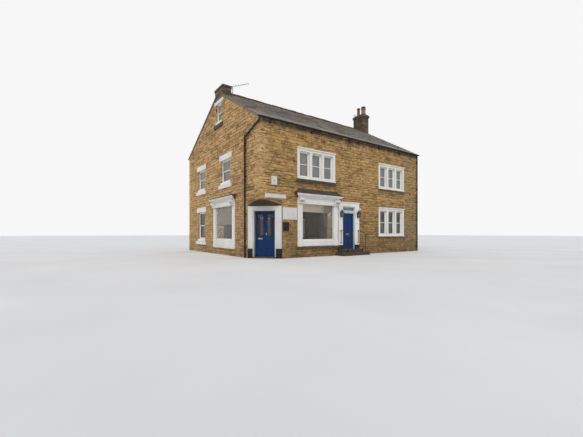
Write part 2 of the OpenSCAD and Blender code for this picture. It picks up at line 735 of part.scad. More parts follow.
module shopfront_aprons() color("white") in_house() for (s = SHOPS) on_wall(s[0]) {
    half = s[2] / 2 - pilaster_w + 40;
    difference() {
        box([s[1] - half, 0, s[3]], [s[1] + half, 90, shop_glass_z - frame_w]);
        for (i = [-1:1]) translate([s[1] + i * half * 0.66, 0, 0])
            box([-half * 0.28, -1, s[3] + 80], [half * 0.28, 14, shop_glass_z - frame_w - 60]);
    }
}

// A stone course under the front shopfront, two thin white tiers under the gable's
module shopfront_sills() color("burlywood") in_house() for (s = SHOPS) on_wall(s[0]) {
    x0 = s[1] - s[2] / 2;
    x1 = s[1] + s[2] / 2;
    if (s[0] == FRONT) box([x0 - 40, -pilaster_d - 20, s[3] - shop_sill_h], [x1 + 40, 0, s[3]]);
    if (s[0] == GABLE) {
        box([x0 - 30, -pilaster_d - 45, s[3] - sill_tier_h], [x1 + 30, 0, s[3]]);
        box([x0 - 15, -pilaster_d - 20, s[3] - 2 * sill_tier_h], [x1 + 15, 0, s[3] - sill_tier_h]);
    }
}

// White case of the corner doorway, with the frame that the leaves hang in
module corner_door_surround() color("white") in_house() on_splay() {
    edge = splay_w / 2 - 30;
    foot_z = plinth_block_h * 2;
    box([-edge, -casing_t, foot_z], [doorway_x0 + 20, 0, case_top_z]);
    box([doorway_x1 - 20, -casing_t, foot_z], [edge, 0, case_top_z]);
    box([doorway_x0 + 20, -casing_t, shop_frame_top_z - 20], [doorway_x1 - 20, 0, case_top_z]);
    difference() {
        box([doorway_x0, 0, shop_floor_z], [doorway_x1, shop_recess + leaf_t, case_top_z]);
        box([doorway_x0 + shop_frame_w, -1, shop_floor_z - 1],
            [doorway_x1 - shop_frame_w, shop_recess + leaf_t + 1, shop_frame_top_z - shop_frame_w]);
    }
    translate([left_leaf_x, shop_recess, shop_leaf_z]) frame_hinges(shop_leaf_h);
    translate([right_leaf_x, shop_recess, shop_leaf_z]) mirror([1, 0, 0]) frame_hinges(shop_leaf_h);
}

module corner_threshold() color("tan") in_house() on_splay()
    box([doorway_x0, -casing_t - 30, 0], [doorway_x1, wall_t, shop_floor_z]);

// Black blocks at the feet of both door cases
module plinth_blocks() color("#18181a") in_house() {
    edge = splay_w / 2 - 30;
    on_splay() {
        box([-edge - 8, -casing_t - 12, 0], [doorway_x0 - 2, 0, plinth_block_h * 2]);
        box([doorway_x1 + 2, -casing_t - 12, 0], [edge + 8, 0, plinth_block_h * 2]);
    }
    box([house_x0 - left_pilaster_w - 8, -casing_t - 12, house_floor_z],
        [house_x0 + 20, 0, house_floor_z + plinth_block_h]);
    box([house_x1 - 20, -casing_t - 12, house_floor_z],
        [house_x1 + right_pilaster_w + 8, 0, house_floor_z + plinth_block_h]);
}

function hinge_heights(leaf_h) = [180, leaf_h / 2 - hinge_h / 2, leaf_h - 180 - hinge_h];

// Lower half of the butt hinges, on the frame, drawn from the leaf's hinge edge
module frame_hinges(leaf_h) for (z = hinge_heights(leaf_h)) translate([0, 0, z]) {
    translate([-leaf_gap / 2, leaf_t + knuckle_r, 0]) cylinder(h = hinge_h / 2, r = knuckle_r, $fn = 32);
    box([-leaf_gap - 28, leaf_t, 0], [-leaf_gap / 2, leaf_t + 4, hinge_h / 2]);
}

// Upper half of the butt hinges, on the leaf
module leaf_hinges(leaf_h) for (z = hinge_heights(leaf_h)) translate([0, 0, z + hinge_h / 2 + hinge_play]) {
    translate([-leaf_gap / 2, leaf_t + knuckle_r, 0]) cylinder(h = hinge_h / 2, r = knuckle_r, $fn = 32);
    box([-leaf_gap / 2, leaf_t - 1, 0], [32, leaf_t + 4, hinge_h / 2]);
}

// Shop leaf drawn from its hinge edge, X along the leaf, Y into the building
glass_bottom = 995;
stile_w = 85;
module shop_leaf() {
    difference() {
        box([0, 0, 0], [shop_leaf_w, leaf_t, shop_leaf_h]);
        box([stile_w, -1, glass_bottom], [shop_leaf_w - stile_w, leaf_t + 1, shop_leaf_h - 110]);
        box([stile_w, -1, 170], [shop_leaf_w - stile_w, 12, glass_bottom - 240]);
    }
    leaf_hinges(shop_leaf_h);
}

module shop_leaf_glass() box([stile_w, leaf_t / 2 - 4, glass_bottom],
    [shop_leaf_w - stile_w, leaf_t / 2 + 4, shop_leaf_h - 110]);

left_leaf_x = doorway_x0 + shop_frame_w + leaf_gap;
right_leaf_x = doorway_x1 - shop_frame_w - leaf_gap;

module at_left_leaf() on_splay() translate([left_leaf_x, shop_recess, shop_leaf_z]) children();

module at_right_leaf() on_splay() translate([right_leaf_x, shop_recess, shop_leaf_z])
    mirror([1, 0, 0]) children();

module shop_door_left() color("#0f2f6b") in_house() at_left_leaf() shop_leaf();

module shop_door_left_glass() color("lightblue") in_house() at_left_leaf() shop_leaf_glass();

module shop_door_right() color("#0f2f6b") in_house() at_right_leaf() shop_leaf();

module shop_door_right_glass() color("lightblue") in_house() at_right_leaf() shop_leaf_glass();

module shop_door_handle() color("gold") in_house() at_right_leaf()
    translate([shop_leaf_w - 45, 0, glass_bottom + 90]) {
        box([-18, -5, -70], [18, 0, 70]);
        translate([0, -5, 0]) rotate([90, 0, 0]) cylinder(h = 35, r = 9, $fn = 32);
        translate([0, -52, 0]) rotate([90, 0, 0]) translate([0, 0, -12]) cylinder(h = 24, r = 24, $fn = 32);
    }

module shop_door_letter_plate() color("gold") in_house() at_left_leaf()
    box([shop_leaf_w / 2 - 110, -6, glass_bottom - 170], [shop_leaf_w / 2 + 110, 0, glass_bottom - 95]);

// Pilasters and head board of the house door
module house_door_surround() color("white") in_house() {
    x0 = house_x0 - left_pilaster_w;
    x1 = house_x1 + right_pilaster_w;
    foot_z = house_floor_z + plinth_block_h;
    head_z = house_head_z - 20;
    box([x0, -casing_t, foot_z], [house_x0 + 20, 0, head_z]);
    box([house_x1 - 20, -casing_t, foot_z], [x1, 0, head_z]);
    box([x0, -casing_t, head_z], [x1, 0, house_surround_top_z]);
    box([x0 - 15, -casing_t - 35, house_surround_top_z - 45], [x1 + 25, 0, house_surround_top_z]);
}

module house_door_frame() color("white") in_house() {
    difference() {
        box([house_x0, 0, house_floor_z], [house_x1, house_recess + leaf_t, house_head_z]);
        box([house_x0 + house_frame_w, -1, house_floor_z - 1],
            [house_x1 - house_frame_w, house_recess + leaf_t + 1, house_rail_z]);
        box([house_x0 + house_frame_w, -1, house_light_z],
            [house_x1 - house_frame_w, house_recess + leaf_t + 1, house_head_z - house_frame_w]);
    }
    at_house_leaf() frame_hinges(house_leaf_h);
}

module house_door_glass() color("lightgreen") in_house()
    box([house_x0 + house_frame_w, house_recess + 10, house_light_z],
        [house_x1 - house_frame_w, house_recess + 10 + glass_t, house_head_z - house_frame_w]);

// House door: two long panels over two short ones, drawn from its hinge edge
module at_house_leaf() translate([house_x0 + house_frame_w + leaf_gap, house_recess, house_leaf_z])
    children();

module house_door() color("#0f2f6b") in_house() at_house_leaf() {
    stile = 105;
    panel_w = (house_leaf_w - 3 * stile) / 2;
    low_panel = [180, 560];
    long_panel = [900, house_leaf_h - 1020];
    difference() {
        box([0, 0, 0], [house_leaf_w, leaf_t, house_leaf_h]);
        for (i = [0, 1]) for (row = [low_panel, long_panel])
            translate([stile + i * (panel_w + stile), 0, row[0]]) difference() {
                box([0, -1, 0], [panel_w, 14, row[1]]);
                box([30, 4, 30], [panel_w - 30, 15, row[1] - 30]);
            }
    }
    leaf_hinges(house_leaf_h);
}

module house_door_knob() color("gold") in_house() at_house_leaf() {
    translate([house_leaf_w - 50, 0, 930]) rotate([90, 0, 0]) rotate_extrude($fn = 48)
        polygon([[0, 0], [24, 0], [24, 5], [10, 10], [10, 30], [24, 38], [28, 50], [20, 60], [0, 64]]);
    box([house_leaf_w / 2 - 120, -6, 780], [house_leaf_w / 2 + 120, 0, 840]);
}

lower_step_x0 = house_x0 - left_pilaster_w - 190;
lower_step_x1 = house_x1 + right_pilaster_w + 200;
upper_step_x0 = house_x0 - left_pilaster_w - 40;
upper_step_x1 = house_x1 + right_pilaster_w + 40;

module lower_step() color("dimgray") in_house()
    box([lower_step_x0, -lower_step_d, 0], [lower_step_x1, 0, house_floor_z / 2]);

module upper_step() color("dimgray") in_house()
    box([upper_step_x0, -upper_step_d, house_floor_z / 2], [upper_step_x1, 0, house_floor_z]);

// Iron rails: a post on the lower step, a bar that rises to the wall and an upright fixed there
module handrails() color("black") in_house()
    for (x = [house_x0 - left_pilaster_w / 2, house_x1 + right_pilaster_w * 0.65]) {
        bar_r = 14;
        stand = 45;
        rail_low_z = 1180;
        rail_high_z = 1360;
        foot = [x, -lower_step_d + 60, house_floor_z / 2];
        top = [foot.x, foot.y, rail_low_z];
        wall_top = [x, -casing_t - stand, rail_high_z];
        wall_foot = [x, -casing_t - stand, house_floor_z + 320];
        pipe(foot, top, bar_r);
        translate(top) sphere(bar_r + 4, $fn = 32);
        pipe(top, wall_top, bar_r);
        translate(wall_top) sphere(bar_r + 4, $fn = 32);
        pipe(wall_foot, wall_top, bar_r);
        translate(foot) cylinder(h = 12, r = 40, $fn = 32);
        for (z = [wall_foot.z + 40, wall_top.z - 60]) translate([x, -casing_t, z])
            rotate([90, 0, 0]) {
                cylinder(h = stand, r = 8, $fn = 32);
                cylinder(h = 8, r = 28, $fn = 32);
            }
    }

// Square coach lanterns on the pilasters beside the house door
lantern_z = 2020;
module lanterns() color("#1a1a1c") in_house()
    for (x = [house_x0 - left_pilaster_w / 2, house_x1 + right_pilaster_w / 2])
    translate([x, -casing_t, lantern_z]) {
        box([-35, -14, 90], [35, 0, 230]);
        box([-10, -110, 205], [10, -14, 225]);
        translate([0, -110, 0]) {
            rotate([0, 0, 45]) cylinder(h = 18, r = 62, $fn = 4);
            rotate([0, 0, 45]) translate([0, 0, 18]) cylinder(h = 187, r = 78, $fn = 4);
            rotate([0, 0, 45]) translate([0, 0, 205]) cylinder(h = 25, r = 100, $fn = 4);
            rotate([0, 0, 45]) translate([0, 0, 230]) cylinder(h = 50, r = 50, $fn = 4);
        }
    }

// Painted stone surrounds of the three-light windows, with mullions, drip moulding and foot
module window_surrounds() color("white") in_house() for (w = THREE_LIGHTS)
    translate([w[0], 0, w[1]]) {
        half = three_light_w / 2;
        difference() {
            box([-half, 0, 0], [half, surround_d, w[2]]);
            for (i = [-1:1]) translate([i * (light_w + mullion_w), 0, 0])
                box([-light_w / 2, -1, surround_foot_h],
                    [light_w / 2, surround_d + 1, w[2] - surround_head_h]);
        }
        box([-half - drip_over, -drip_out, w[2] - drip_h], [half + drip_over, 0, w[2]]);
        box([-half, -foot_out, 0], [half, 0, surround_foot_h * 0.75]);
    }

module casement_frames() color("white") in_house() for (w = THREE_LIGHTS)
    for (i = [-1:1]) translate([w[0] + i * (light_w + mullion_w), 0, w[1]]) {
        z1 = w[2] - surround_head_h;
        frame(-light_w / 2, surround_foot_h, light_w / 2, z1, frame_recess, frame_recess + frame_d,
            frame_w);
        mid = (surround_foot_h + z1) / 2;
        box([-light_w / 2 + frame_w, frame_recess + 10, mid - 18],
            [light_w / 2 - frame_w, frame_recess + frame_d - 30, mid + 18]);
    }

module window_sills() color("burlywood") in_house() {
    for (w = THREE_LIGHTS)
        box([w[0] - three_light_w / 2 - slim_sill_over, -slim_sill_out, w[1] - slim_sill_h],
            [w[0] + three_light_w / 2 + slim_sill_over, surround_d, w[1]]);
    for (s = SASHES) on_wall(s[0])
        box([s[1] - s[2] / 2 - lintel_bearing, -sill_out, s[3] - sill_h],
            [s[1] + s[2] / 2 + lintel_bearing, lintel_d, s[3]]);
}

module window_lintels() color("white") in_house() for (s = SASHES) on_wall(s[0])
    box([s[1] - s[2] / 2 - lintel_bearing, -lintel_proud, s[3] + s[4]],
        [s[1] + s[2] / 2 + lintel_bearing, lintel_d, s[3] + s[4] + s[5]]);

// Box frame with two sashes, the upper one in front of the lower one, on a deep timber sill
box_w = 40;
sash_rail_w = frame_w - 20;
timber_sill_lift = 12;
module sash_frames() color("white") in_house() for (s = SASHES) on_wall(s[0])
    translate([s[1], frame_recess, s[3]]) {
        half = s[2] / 2;
        foot = timber_sill_h;
        mid = (foot + s[4]) / 2;
        frame(-half, foot, half, s[4], 0, frame_d, box_w);
        frame(-half + box_w, mid - 25, half - box_w, s[4] - box_w, 8, 34, sash_rail_w);
        frame(-half + box_w, foot + box_w, half - box_w, mid + 25, 34, 60, sash_rail_w);
        box([-half, 0, 0], [half, frame_d, foot]);
        box([-half, -frame_recess - timber_sill_out, timber_sill_lift], [half, 0, foot]);
    }

module window_glass() color("lightblue") in_house() {
    for (w = THREE_LIGHTS) for (i = [-1:1])
        translate([w[0] + i * (light_w + mullion_w), frame_recess + frame_d - 30, w[1]])
            box([-light_w / 2 + frame_w, 0, surround_foot_h + frame_w],
                [light_w / 2 - frame_w, glass_t, w[2] - surround_head_h - frame_w]);
    for (s = SASHES) on_wall(s[0]) translate([s[1], frame_recess, s[3]]) {
        rail = sash_rail_w + box_w;
        mid = (timber_sill_h + s[4]) / 2;
        box([-s[2] / 2 + rail, 15, mid + 25], [s[2] / 2 - rail, 15 + glass_t, s[4] - rail]);
        box([-s[2] / 2 + rail, 41, timber_sill_h + rail], [s[2] / 2 - rail, 41 + glass_t, mid - 25]);
    }
}

// Bare boards: a notice board by the shopfront and a plate over the corner
module notice_boards() color("white") in_house() {
    box([notice_x, -notice_t, notice_z], [notice_x + notice_w, 0, notice_z + notice_h]);
    box([plate_x, -plate_t, plate_z], [plate_x + plate_w, 0, plate_z + plate_h]);
}

// A black box beside the doorway and a white bell box above it
module wall_boxes() color("#1c1c1e") in_house() {
    box([letter_box_x, -letter_box_d, letter_box_z],
        [letter_box_x + wall_box_w, 0, letter_box_z + wall_box_h]);
    box([bell_box_x, -bell_box_d, bell_box_z],
        [bell_box_x + wall_box_w, 0, bell_box_z + wall_box_h]);
}

ground_floor();
first_floor();
attic_floor();
front_wall_shop_side();
front_wall_window_side();
front_wall_upper();
gable_wall_ground();
gable_wall_upper();
rear_wall();
party_wall();
corner_piers();
corner_corbel();
roof_front_slope();
roof_rear_slope();
ridge_tiles();
gable_chimney();
party_chimney();
chimney_pots();
pot_cowl();
front_gutter();
rear_gutter();
gable_downpipe();
front_downpipe();
shopfront_pilasters();
shopfront_consoles();
shopfront_fascias();
shopfront_cornices();
shopfront_lead_roofs();
shopfront_sashes();
shopfront_glass();
shopfront_aprons();
shopfront_sills();
corner_door_surround();
corner_threshold();
plinth_blocks();
shop_door_left();
shop_door_left_glass();
shop_door_right();
shop_door_right_glass();
shop_door_handle();
shop_door_letter_plate();
house_door_surround();
house_door_frame();
house_door_glass();
house_door();
house_door_knob();
lower_step();
upper_step();
handrails();
lanterns();
window_surrounds();
window_sills();
window_lintels();
casement_frames();
sash_frames();
window_glass();
notice_boards();
wall_boxes();
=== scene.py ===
import bpy, bmesh, math, random
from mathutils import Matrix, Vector


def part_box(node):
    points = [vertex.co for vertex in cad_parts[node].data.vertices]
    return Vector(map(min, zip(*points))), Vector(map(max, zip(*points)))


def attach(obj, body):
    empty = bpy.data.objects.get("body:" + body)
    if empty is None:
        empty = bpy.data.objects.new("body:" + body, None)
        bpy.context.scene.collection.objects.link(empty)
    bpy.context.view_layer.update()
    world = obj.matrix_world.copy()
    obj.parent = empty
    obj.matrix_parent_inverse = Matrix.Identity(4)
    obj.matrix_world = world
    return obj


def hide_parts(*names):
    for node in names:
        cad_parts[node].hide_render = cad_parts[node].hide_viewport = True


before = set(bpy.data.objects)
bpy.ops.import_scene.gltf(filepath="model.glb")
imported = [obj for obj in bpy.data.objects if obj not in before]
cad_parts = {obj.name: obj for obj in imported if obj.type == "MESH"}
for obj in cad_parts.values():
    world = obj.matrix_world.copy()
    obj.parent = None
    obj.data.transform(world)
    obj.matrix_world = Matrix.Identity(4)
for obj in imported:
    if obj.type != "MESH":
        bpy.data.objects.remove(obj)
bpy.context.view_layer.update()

# Eye. A person stands across the road with the square corner ahead and the gable on the left.
# Eye height is 1.2 m, the line of sight is level and 35.7 degrees east of square to the front.
def placed(name, data):
    """A new object in the scene."""
    made = bpy.data.objects.new(name, data)
    bpy.context.scene.collection.objects.link(made)
    return made


lens = bpy.data.cameras.new("street_view")
lens.lens = 19.2
lens.sensor_width = 36
lens.shift_y = 0.0249
lens.clip_end = 400
eye = placed("street_view", lens)
eye.location = (-13.07, -17.10, 1.20)
eye.rotation_euler = (math.radians(90), 0, math.radians(-35.7))
bpy.context.scene.camera = eye
bpy.context.scene.view_settings.view_transform = "Standard"


# Ground and light. The ground is a plain pale floor under an even, pale sky, with one broad soft lamp high
# on the left. Three warm lamps are on inside, over the two display windows and in the middle of the shop.
class Wire:
    """One output of a node. Arithmetic on it adds Math nodes to the tree that it is in."""

    def __init__(self, socket):
        self.socket = socket

    @staticmethod
    def node(tree, kind, settings=None, sockets=None, out=0):
        """One output of a new node, which gets these settings and these values or wires in its sockets."""
        made = tree.nodes.new(kind)
        for key, value in (settings or {}).items():
            if key == "stops":
                ramp = made.color_ramp
                for place, colour in value[1:-1]:
                    ramp.elements.new(place).color = (*colour, 1)
                for end, (place, colour) in ((0, value[0]), (-1, value[-1])):
                    ramp.elements[end].position = place
                    ramp.elements[end].color = (*colour, 1)
            else:
                setattr(made, key, value)
        for key, value in (sockets or {}).items():
            socket = made.inputs[key]
            if isinstance(value, Wire):
                tree.links.new(value.socket, socket)
            elif socket.type == "RGBA" and len(value) == 3:
                socket.default_value = (*value, 1)
            else:
                socket.default_value = value
        return Wire(made.outputs[out])

    def maths(self, operation, a, b, clamp=False):
        settings = {"operation": operation, "use_clamp": clamp}
        return Wire.node(self.socket.id_data, "ShaderNodeMath", settings, {0: a, 1: b})

    def __add__(self, other):
        return self.maths("ADD", self, other)

    def __sub__(self, other):
        return self.maths("SUBTRACT", self, other)

    def __rsub__(self, other):
        return self.maths("SUBTRACT", other, self)

    def __mul__(self, other):
        return self.maths("MULTIPLY", self, other)

    def __truediv__(self, other):
        return self.maths("DIVIDE", self, other)

    __radd__, __rmul__ = __add__, __mul__

    def clamped(self):
        return self.maths("ADD", self, 0.0, True)

    def over(self, low, high):
        """0 below low and 1 above high, with an even rise between them."""
        return ((self - low) / (high - low)).clamped()

    def beside(self, name):
        """Another output of the same node."""
        return Wire(self.socket.node.outputs[name])


def mix(factor, a, b, kind="MIX"):
    """The colour a with a share of b in it."""
    tree = next(w.socket.id_data for w in (factor, a, b) if isinstance(w, Wire))
    settings = {"data_type": "RGBA", "blend_type": kind}
    return Wire.node(tree, "ShaderNodeMix", settings, {0: factor, 6: a, 7: b}, 2)


def coated(colour, *coats):
    """A colour under coats, each of them its share and its own colour."""
    for share, coat in coats:
        colour = mix(share, colour, coat)
    return colour


class Finish:
    """A material under way: its tree, the place on the object, and the shader that it ends in."""

    def __init__(self, name, **constants):
        self.material = bpy.data.materials.new(name)
        self.material.use_nodes = True
        self.tree = self.material.node_tree
        self.shader = self.tree.nodes["Principled BSDF"]
        for key, value in constants.items():
            self.shader.inputs[key.replace("_", " ")].default_value = value
        self.place = self.node("ShaderNodeTexCoord", out="Object")
        self.axes = [self.node("ShaderNodeSeparateXYZ", sockets={0: self.place}, out=i) for i in range(3)]

    def node(self, kind, settings=None, sockets=None, out=0):
        return Wire.node(self.tree, kind, settings, sockets, out)

    def noise(self, scale, detail=3.0, stretch=(1, 1, 1), roughness=0.5, warp=0.0):
        where = self.node("ShaderNodeMapping", sockets={"Vector": self.place, "Scale": stretch})
        return self.node("ShaderNodeTexNoise", sockets={
            "Vector": where, "Scale": scale, "Detail": detail, "Roughness": roughness, "Distortion": warp})

    def ramp(self, factor, *stops):
        return self.node("ShaderNodeValToRGB", {"stops": stops}, {0: factor})

    def cells(self, scale, stretch=(1, 1, 1), feature="F1"):
        where = self.node("ShaderNodeMapping", sockets={"Vector": self.place, "Scale": stretch})
        return self.node("ShaderNodeTexVoronoi", {"feature": feature}, {"Vector": where, "Scale": scale})

    def attribute(self, name):
        return self.node("ShaderNodeAttribute", {"attribute_name": name}, out="Fac")

    def feed(self, socket, wire):
        self.tree.links.new(wire.socket, self.shader.inputs[socket])

    def done(self, colour=None, roughness=None, height=None, depth=0.01, strength=1.0):
        """The material, with these wires joined to its shader."""
        if colour:
            self.feed("Base Color", colour)
        if roughness:
            self.feed("Roughness", roughness)
        if height:
            self.feed("Normal", self.node("ShaderNodeBump", sockets={
                "Strength": strength, "Distance": depth, "Height": height}))
        return self.material


ground_mesh = bpy.data.meshes.new("pale_floor")
reach = 150
floor_corners = [(x * reach, y * reach, 0) for x, y in ((-1, -1), (1, -1), (1, 1), (-1, 1))]
ground_mesh.from_pydata(floor_corners, [], [(0, 1, 2, 3)])
floor = Finish("pale_floor", Roughness=0.9)
floor_colour = floor.ramp(floor.noise(0.35, 4), (0.3, (0.70, 0.70, 0.695)), (0.7, (0.76, 0.76, 0.755)))
ground_mesh.materials.append(floor.done(floor_colour, height=floor.noise(30, 3), depth=0.004, strength=0.2))
placed("pale_floor", ground_mesh)

sky = bpy.data.worlds.new("soft_sky")
sky.use_nodes = True
bpy.context.scene.world = sky
seen = Wire.node(sky.node_tree, "ShaderNodeLightPath", out="Is Camera Ray")
for kind in ("Is Glossy Ray", "Is Transmission Ray"):
    seen = seen + Wire.node(sky.node_tree, "ShaderNodeLightPath", out=kind)
tint = mix(seen.clamped(), (0.63, 0.65, 0.69), (0.93, 0.93, 0.93))
sky.node_tree.links.new(tint.socket, sky.node_tree.nodes["Background"].inputs["Color"])
sun = bpy.data.lights.new("soft_lamp", "SUN")
sun.energy = 1.5
sun.angle = math.radians(35)
sun.color = (1.0, 0.97, 0.93)
lamp = placed("soft_lamp", sun)
lamp.rotation_euler = Vector((1.0, 1.05, -1.25)).to_track_quat("-Z", "Y").to_euler()
lamp.visible_glossy = False
for name, place, size, power in (("display_lamp", (-2.70, -4.55, 2.62), (1.8, 0.3), 22.0),
                                 ("gable_display_lamp", (-5.65, -1.04, 2.62), (0.3, 1.8), 46.0),
                                 ("shop_lamp", (-3.4, -1.5, 2.85), (2.5, 2.5), 60.0)):
    indoors = bpy.data.lights.new(name, "AREA")
    indoors.shape = "RECTANGLE"
    indoors.size, indoors.size_y = size
    indoors.energy = power
    indoors.color = (1.0, 0.86, 0.68)
    placed(name, indoors).location = place


# Front wall. Coursed sandstone about half a metre thick, in low courses with thin lime joints.
# Squared rubble fills between dressed blocks at the corners and openings, and it is brown with age
# and black with soot under the sills. Under the eaves it is black with soot and a painted shadow of the
# gutter.
def keep(name, mesh, slot, *nodes, body="building"):
    """A finished piece, on its body, standing for the CAD nodes that it hides. The slot is not used."""
    piece = placed(name, mesh)
    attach(piece, body)
    if nodes:
        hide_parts(*nodes)
    return piece


def solid(name, shape, *materials):
    """The plain mesh of a shape, with its materials."""
    mesh = bpy.data.meshes.new(name)
    shape.to_mesh(mesh)
    shape.free()
    for material in materials:
        mesh.materials.append(material)
    return mesh


def merged(node):
    """A copy of a CAD node's mesh, with its loose triangles joined into whole faces."""
    shape = bmesh.new()
    shape.from_mesh(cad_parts[node].data)
    bmesh.ops.remove_doubles(shape, verts=shape.verts, dist=1e-5)
    bmesh.ops.dissolve_limit(shape, angle_limit=math.radians(0.5), verts=shape.verts, edges=shape.edges)
    return shape


def core(node, mortar, outward, plaster, back=0.016, slot="sandstone"):
    """The node with its outer faces moved back behind the stones, and plaster on its inner faces."""
    outward = [Vector(way) for way in outward]
    shape = merged(node)
    shape.normal_update()
    moved = {}
    for corner in shape.verts:
        shift, taken = Vector(), []
        for face in corner.link_faces:
            outer = any(face.normal.dot(way) > 0.99 for way in outward)
            if outer and all(face.normal.dot(n) < 0.99 for n in taken):
                taken.append(face.normal.copy())
                shift -= face.normal * back
        moved[corner] = corner.co + shift
    for face in shape.faces:
        face.material_index = 1 if face.normal.dot(outward[0]) < -0.7 else 0
    for corner, place in moved.items():
        corner.co = place
    keep(node + "_core", solid(node + "_core", shape, mortar, plaster), slot, node)


def beds_between(low, high, marks, rise, chance):
    """Heights of the bed joints. Each mark, such as a sill or head, is a bed too."""
    levels, least = [low], 0.05
    for mark in sorted(marks):
        if mark - levels[-1] > least and high - mark > least:
            levels.append(mark)
    beds = [low]
    for a, b in zip(levels, levels[1:] + [high]):
        count = max(1, round((b - a) / (rise * chance.uniform(0.9, 1.1))))
        shares = [chance.uniform(0.7, 1.3) for _ in range(count)]
        for share in shares:
            beds.append(beds[-1] + (b - a) * share / sum(shares))
    return beds


def lay(left_end, right_end, beds, gaps, length, chance, depth=0.05, jamb=0.1, joint=0.013, proud=0.0015):
    """Stones in courses between the gaps: left, right, bottom, top, depth, tone, dressed.
    Where a joint would come too near to one of the course below, the stone grows a little."""
    clear, grow, least_run, least_end = 0.05, 0.07, 0.02, 0.1
    stones, above = [], []
    for low, high in zip(beds, beds[1:]):
        start, runs = left_end, []
        for left, right, bottom, top in sorted(gaps):
            if bottom < (low + high) / 2 < top:
                if left > start + least_run:
                    runs.append((start, left))
                start = max(start, right)
        if right_end > start + least_run:
            runs.append((start, right_end))
        below, above = above, []
        for left, right in runs:
            count = max(1, round((right - left) / (length * chance.uniform(0.8, 1.25))))
            shares = [chance.uniform(0.6, 1.5) for _ in range(count)]
            edge = left
            for k, share in enumerate(shares):
                end = right if k == count - 1 else edge + (right - left) * share / sum(shares)
                if k < count - 1 and any(abs(end - j) < clear for j in below):
                    end += grow if end + grow < right - least_end else 0
                end = min(end, right)
                at_end = k in (0, count - 1)
                first = edge + joint / 2 if k else left - (proud if left > left_end else 0)
                last = end - joint / 2 if k < count - 1 else right + (proud if right < right_end else 0)
                stones.append((first, last, low + joint / 2, high - joint / 2, jamb if at_end else depth,
                               chance.random(), 0.0))
                above.append(end)
                edge = end
    return stones


def trimmed(corners, point, normal):
    """The part of a polygon that lies behind a line."""
    kept = []
    for (a, b) in zip(corners, corners[1:] + corners[:1]):
        da = (a[0] - point[0]) * normal[0] + (a[1] - point[1]) * normal[1]
        db = (b[0] - point[0]) * normal[0] + (b[1] - point[1]) * normal[1]
        if da <= 0:
            kept.append(a)
        if da * db < 0:
            kept.append((a[0] + (b[0] - a[0]) * da / (da - db), a[1] + (b[1] - a[1]) * da / (da - db)))
    return kept


def new_tree(name, **inputs):
    """A Geometry Nodes group with one geometry input, one geometry output and the named inputs."""
    tree = bpy.data.node_groups.new(name, "GeometryNodeTree")
    tree.interface.new_socket("Geometry", in_out="INPUT", socket_type="NodeSocketGeometry")
    tree.interface.new_socket("Geometry", in_out="OUTPUT", socket_type="NodeSocketGeometry")
    kinds = {float: "NodeSocketFloat", int: "NodeSocketInt", tuple: "NodeSocketVector",
             type(None): "NodeSocketMaterial"}
    for key, value in inputs.items():
        socket = tree.interface.new_socket(key, in_out="INPUT", socket_type=kinds[type(value)])
        if value is not None:
            socket.default_value = value
    entry = tree.nodes.new("NodeGroupInput")
    return tree, {s.name: Wire(s) for s in entry.outputs if s.name}


def end_tree(tree, geometry, material):
    """Ends a Geometry Nodes group with real geometry of one material."""
    real = Wire.node(tree, "GeometryNodeRealizeInstances", sockets={0: geometry})
    dressed = Wire.node(tree, "GeometryNodeSetMaterial", sockets={"Geometry": real, "Material": material})
    tree.links.new(dressed.socket, tree.nodes.new("NodeGroupOutput").inputs[0])


def grown(mesh, tree, **inputs):
    """The plain mesh that a Geometry Nodes tree makes of a mesh."""
    seed = placed("seed", mesh)
    modifier = seed.modifiers.new("tree", "NODES")
    modifier.node_group = tree
    for item in tree.interface.items_tree:
        if item.in_out == "INPUT" and item.name in inputs:
            modifier[item.identifier] = inputs[item.name]
    shapes = bpy.context.evaluated_depsgraph_get()
    result = bpy.data.meshes.new_from_object(seed.evaluated_get(shapes), preserve_all_data_layers=True,
                                             depsgraph=shapes)
    bpy.data.objects.remove(seed)
    return result


# Each stone grows out of its outline on the wall: its sides, then an arris, then a slightly uneven face.
stone_tree, port = new_tree("squared_stones", Along=(1.0, 0.0, 0.0), Up=(0.0, 0.0, 1.0), Arris=0.009,
                            Rough=0.006, Seed=1, Stone=None)


def stone_node(kind, settings=None, sockets=None, out=0):
    return Wire.node(stone_tree, kind, settings, sockets, out)


# Each outline carries its depth, width and height.
named = {key: stone_node("GeometryNodeInputNamedAttribute", {"data_type": "FLOAT"}, {"Name": key})
         for key in ("deep", "wide", "high")}
sides = stone_node("GeometryNodeExtrudeMesh", sockets={
    "Mesh": port["Geometry"], "Offset Scale": named["deep"] - port["Arris"]})
front = stone_node("GeometryNodeExtrudeMesh", sockets={
    "Mesh": sides, "Selection": sides.beside("Top"), "Offset Scale": port["Arris"]})
top = front.beside("Top")
for size, axis in (("wide", "Along"), ("high", "Up")):
    front = stone_node("GeometryNodeScaleElements", {"scale_mode": "SINGLE_AXIS"}, {
        "Geometry": front, "Selection": top, "Axis": port[axis],
        "Scale": 1 - port["Arris"] * 2 / named[size]})
spot = stone_node("GeometryNodeInputPosition")
spot = stone_node("ShaderNodeVectorMath", {"operation": "ADD"}, {0: spot, 1: port["Seed"]})
wander = stone_node("ShaderNodeTexNoise", sockets={"Vector": spot, "Scale": 4.0}, out="Color")
wander = stone_node("ShaderNodeVectorMath", {"operation": "SUBTRACT"}, {0: wander, 1: (0.5, 0.5, 0.5)})
wander = stone_node("ShaderNodeVectorMath", {"operation": "SCALE"}, {0: wander, "Scale": port["Rough"]})
front = stone_node("GeometryNodeSetPosition", sockets={
    "Geometry": front, "Selection": top, "Offset": wander})
bed = stone_node("GeometryNodeFlipFaces", sockets={"Mesh": port["Geometry"]})
whole = stone_node("GeometryNodeJoinGeometry")
for part in (front, bed):
    stone_tree.links.new(part.socket, whole.socket.node.inputs[0])
closed = stone_node("GeometryNodeMergeByDistance", sockets={"Geometry": whole, "Distance": 0.0002})
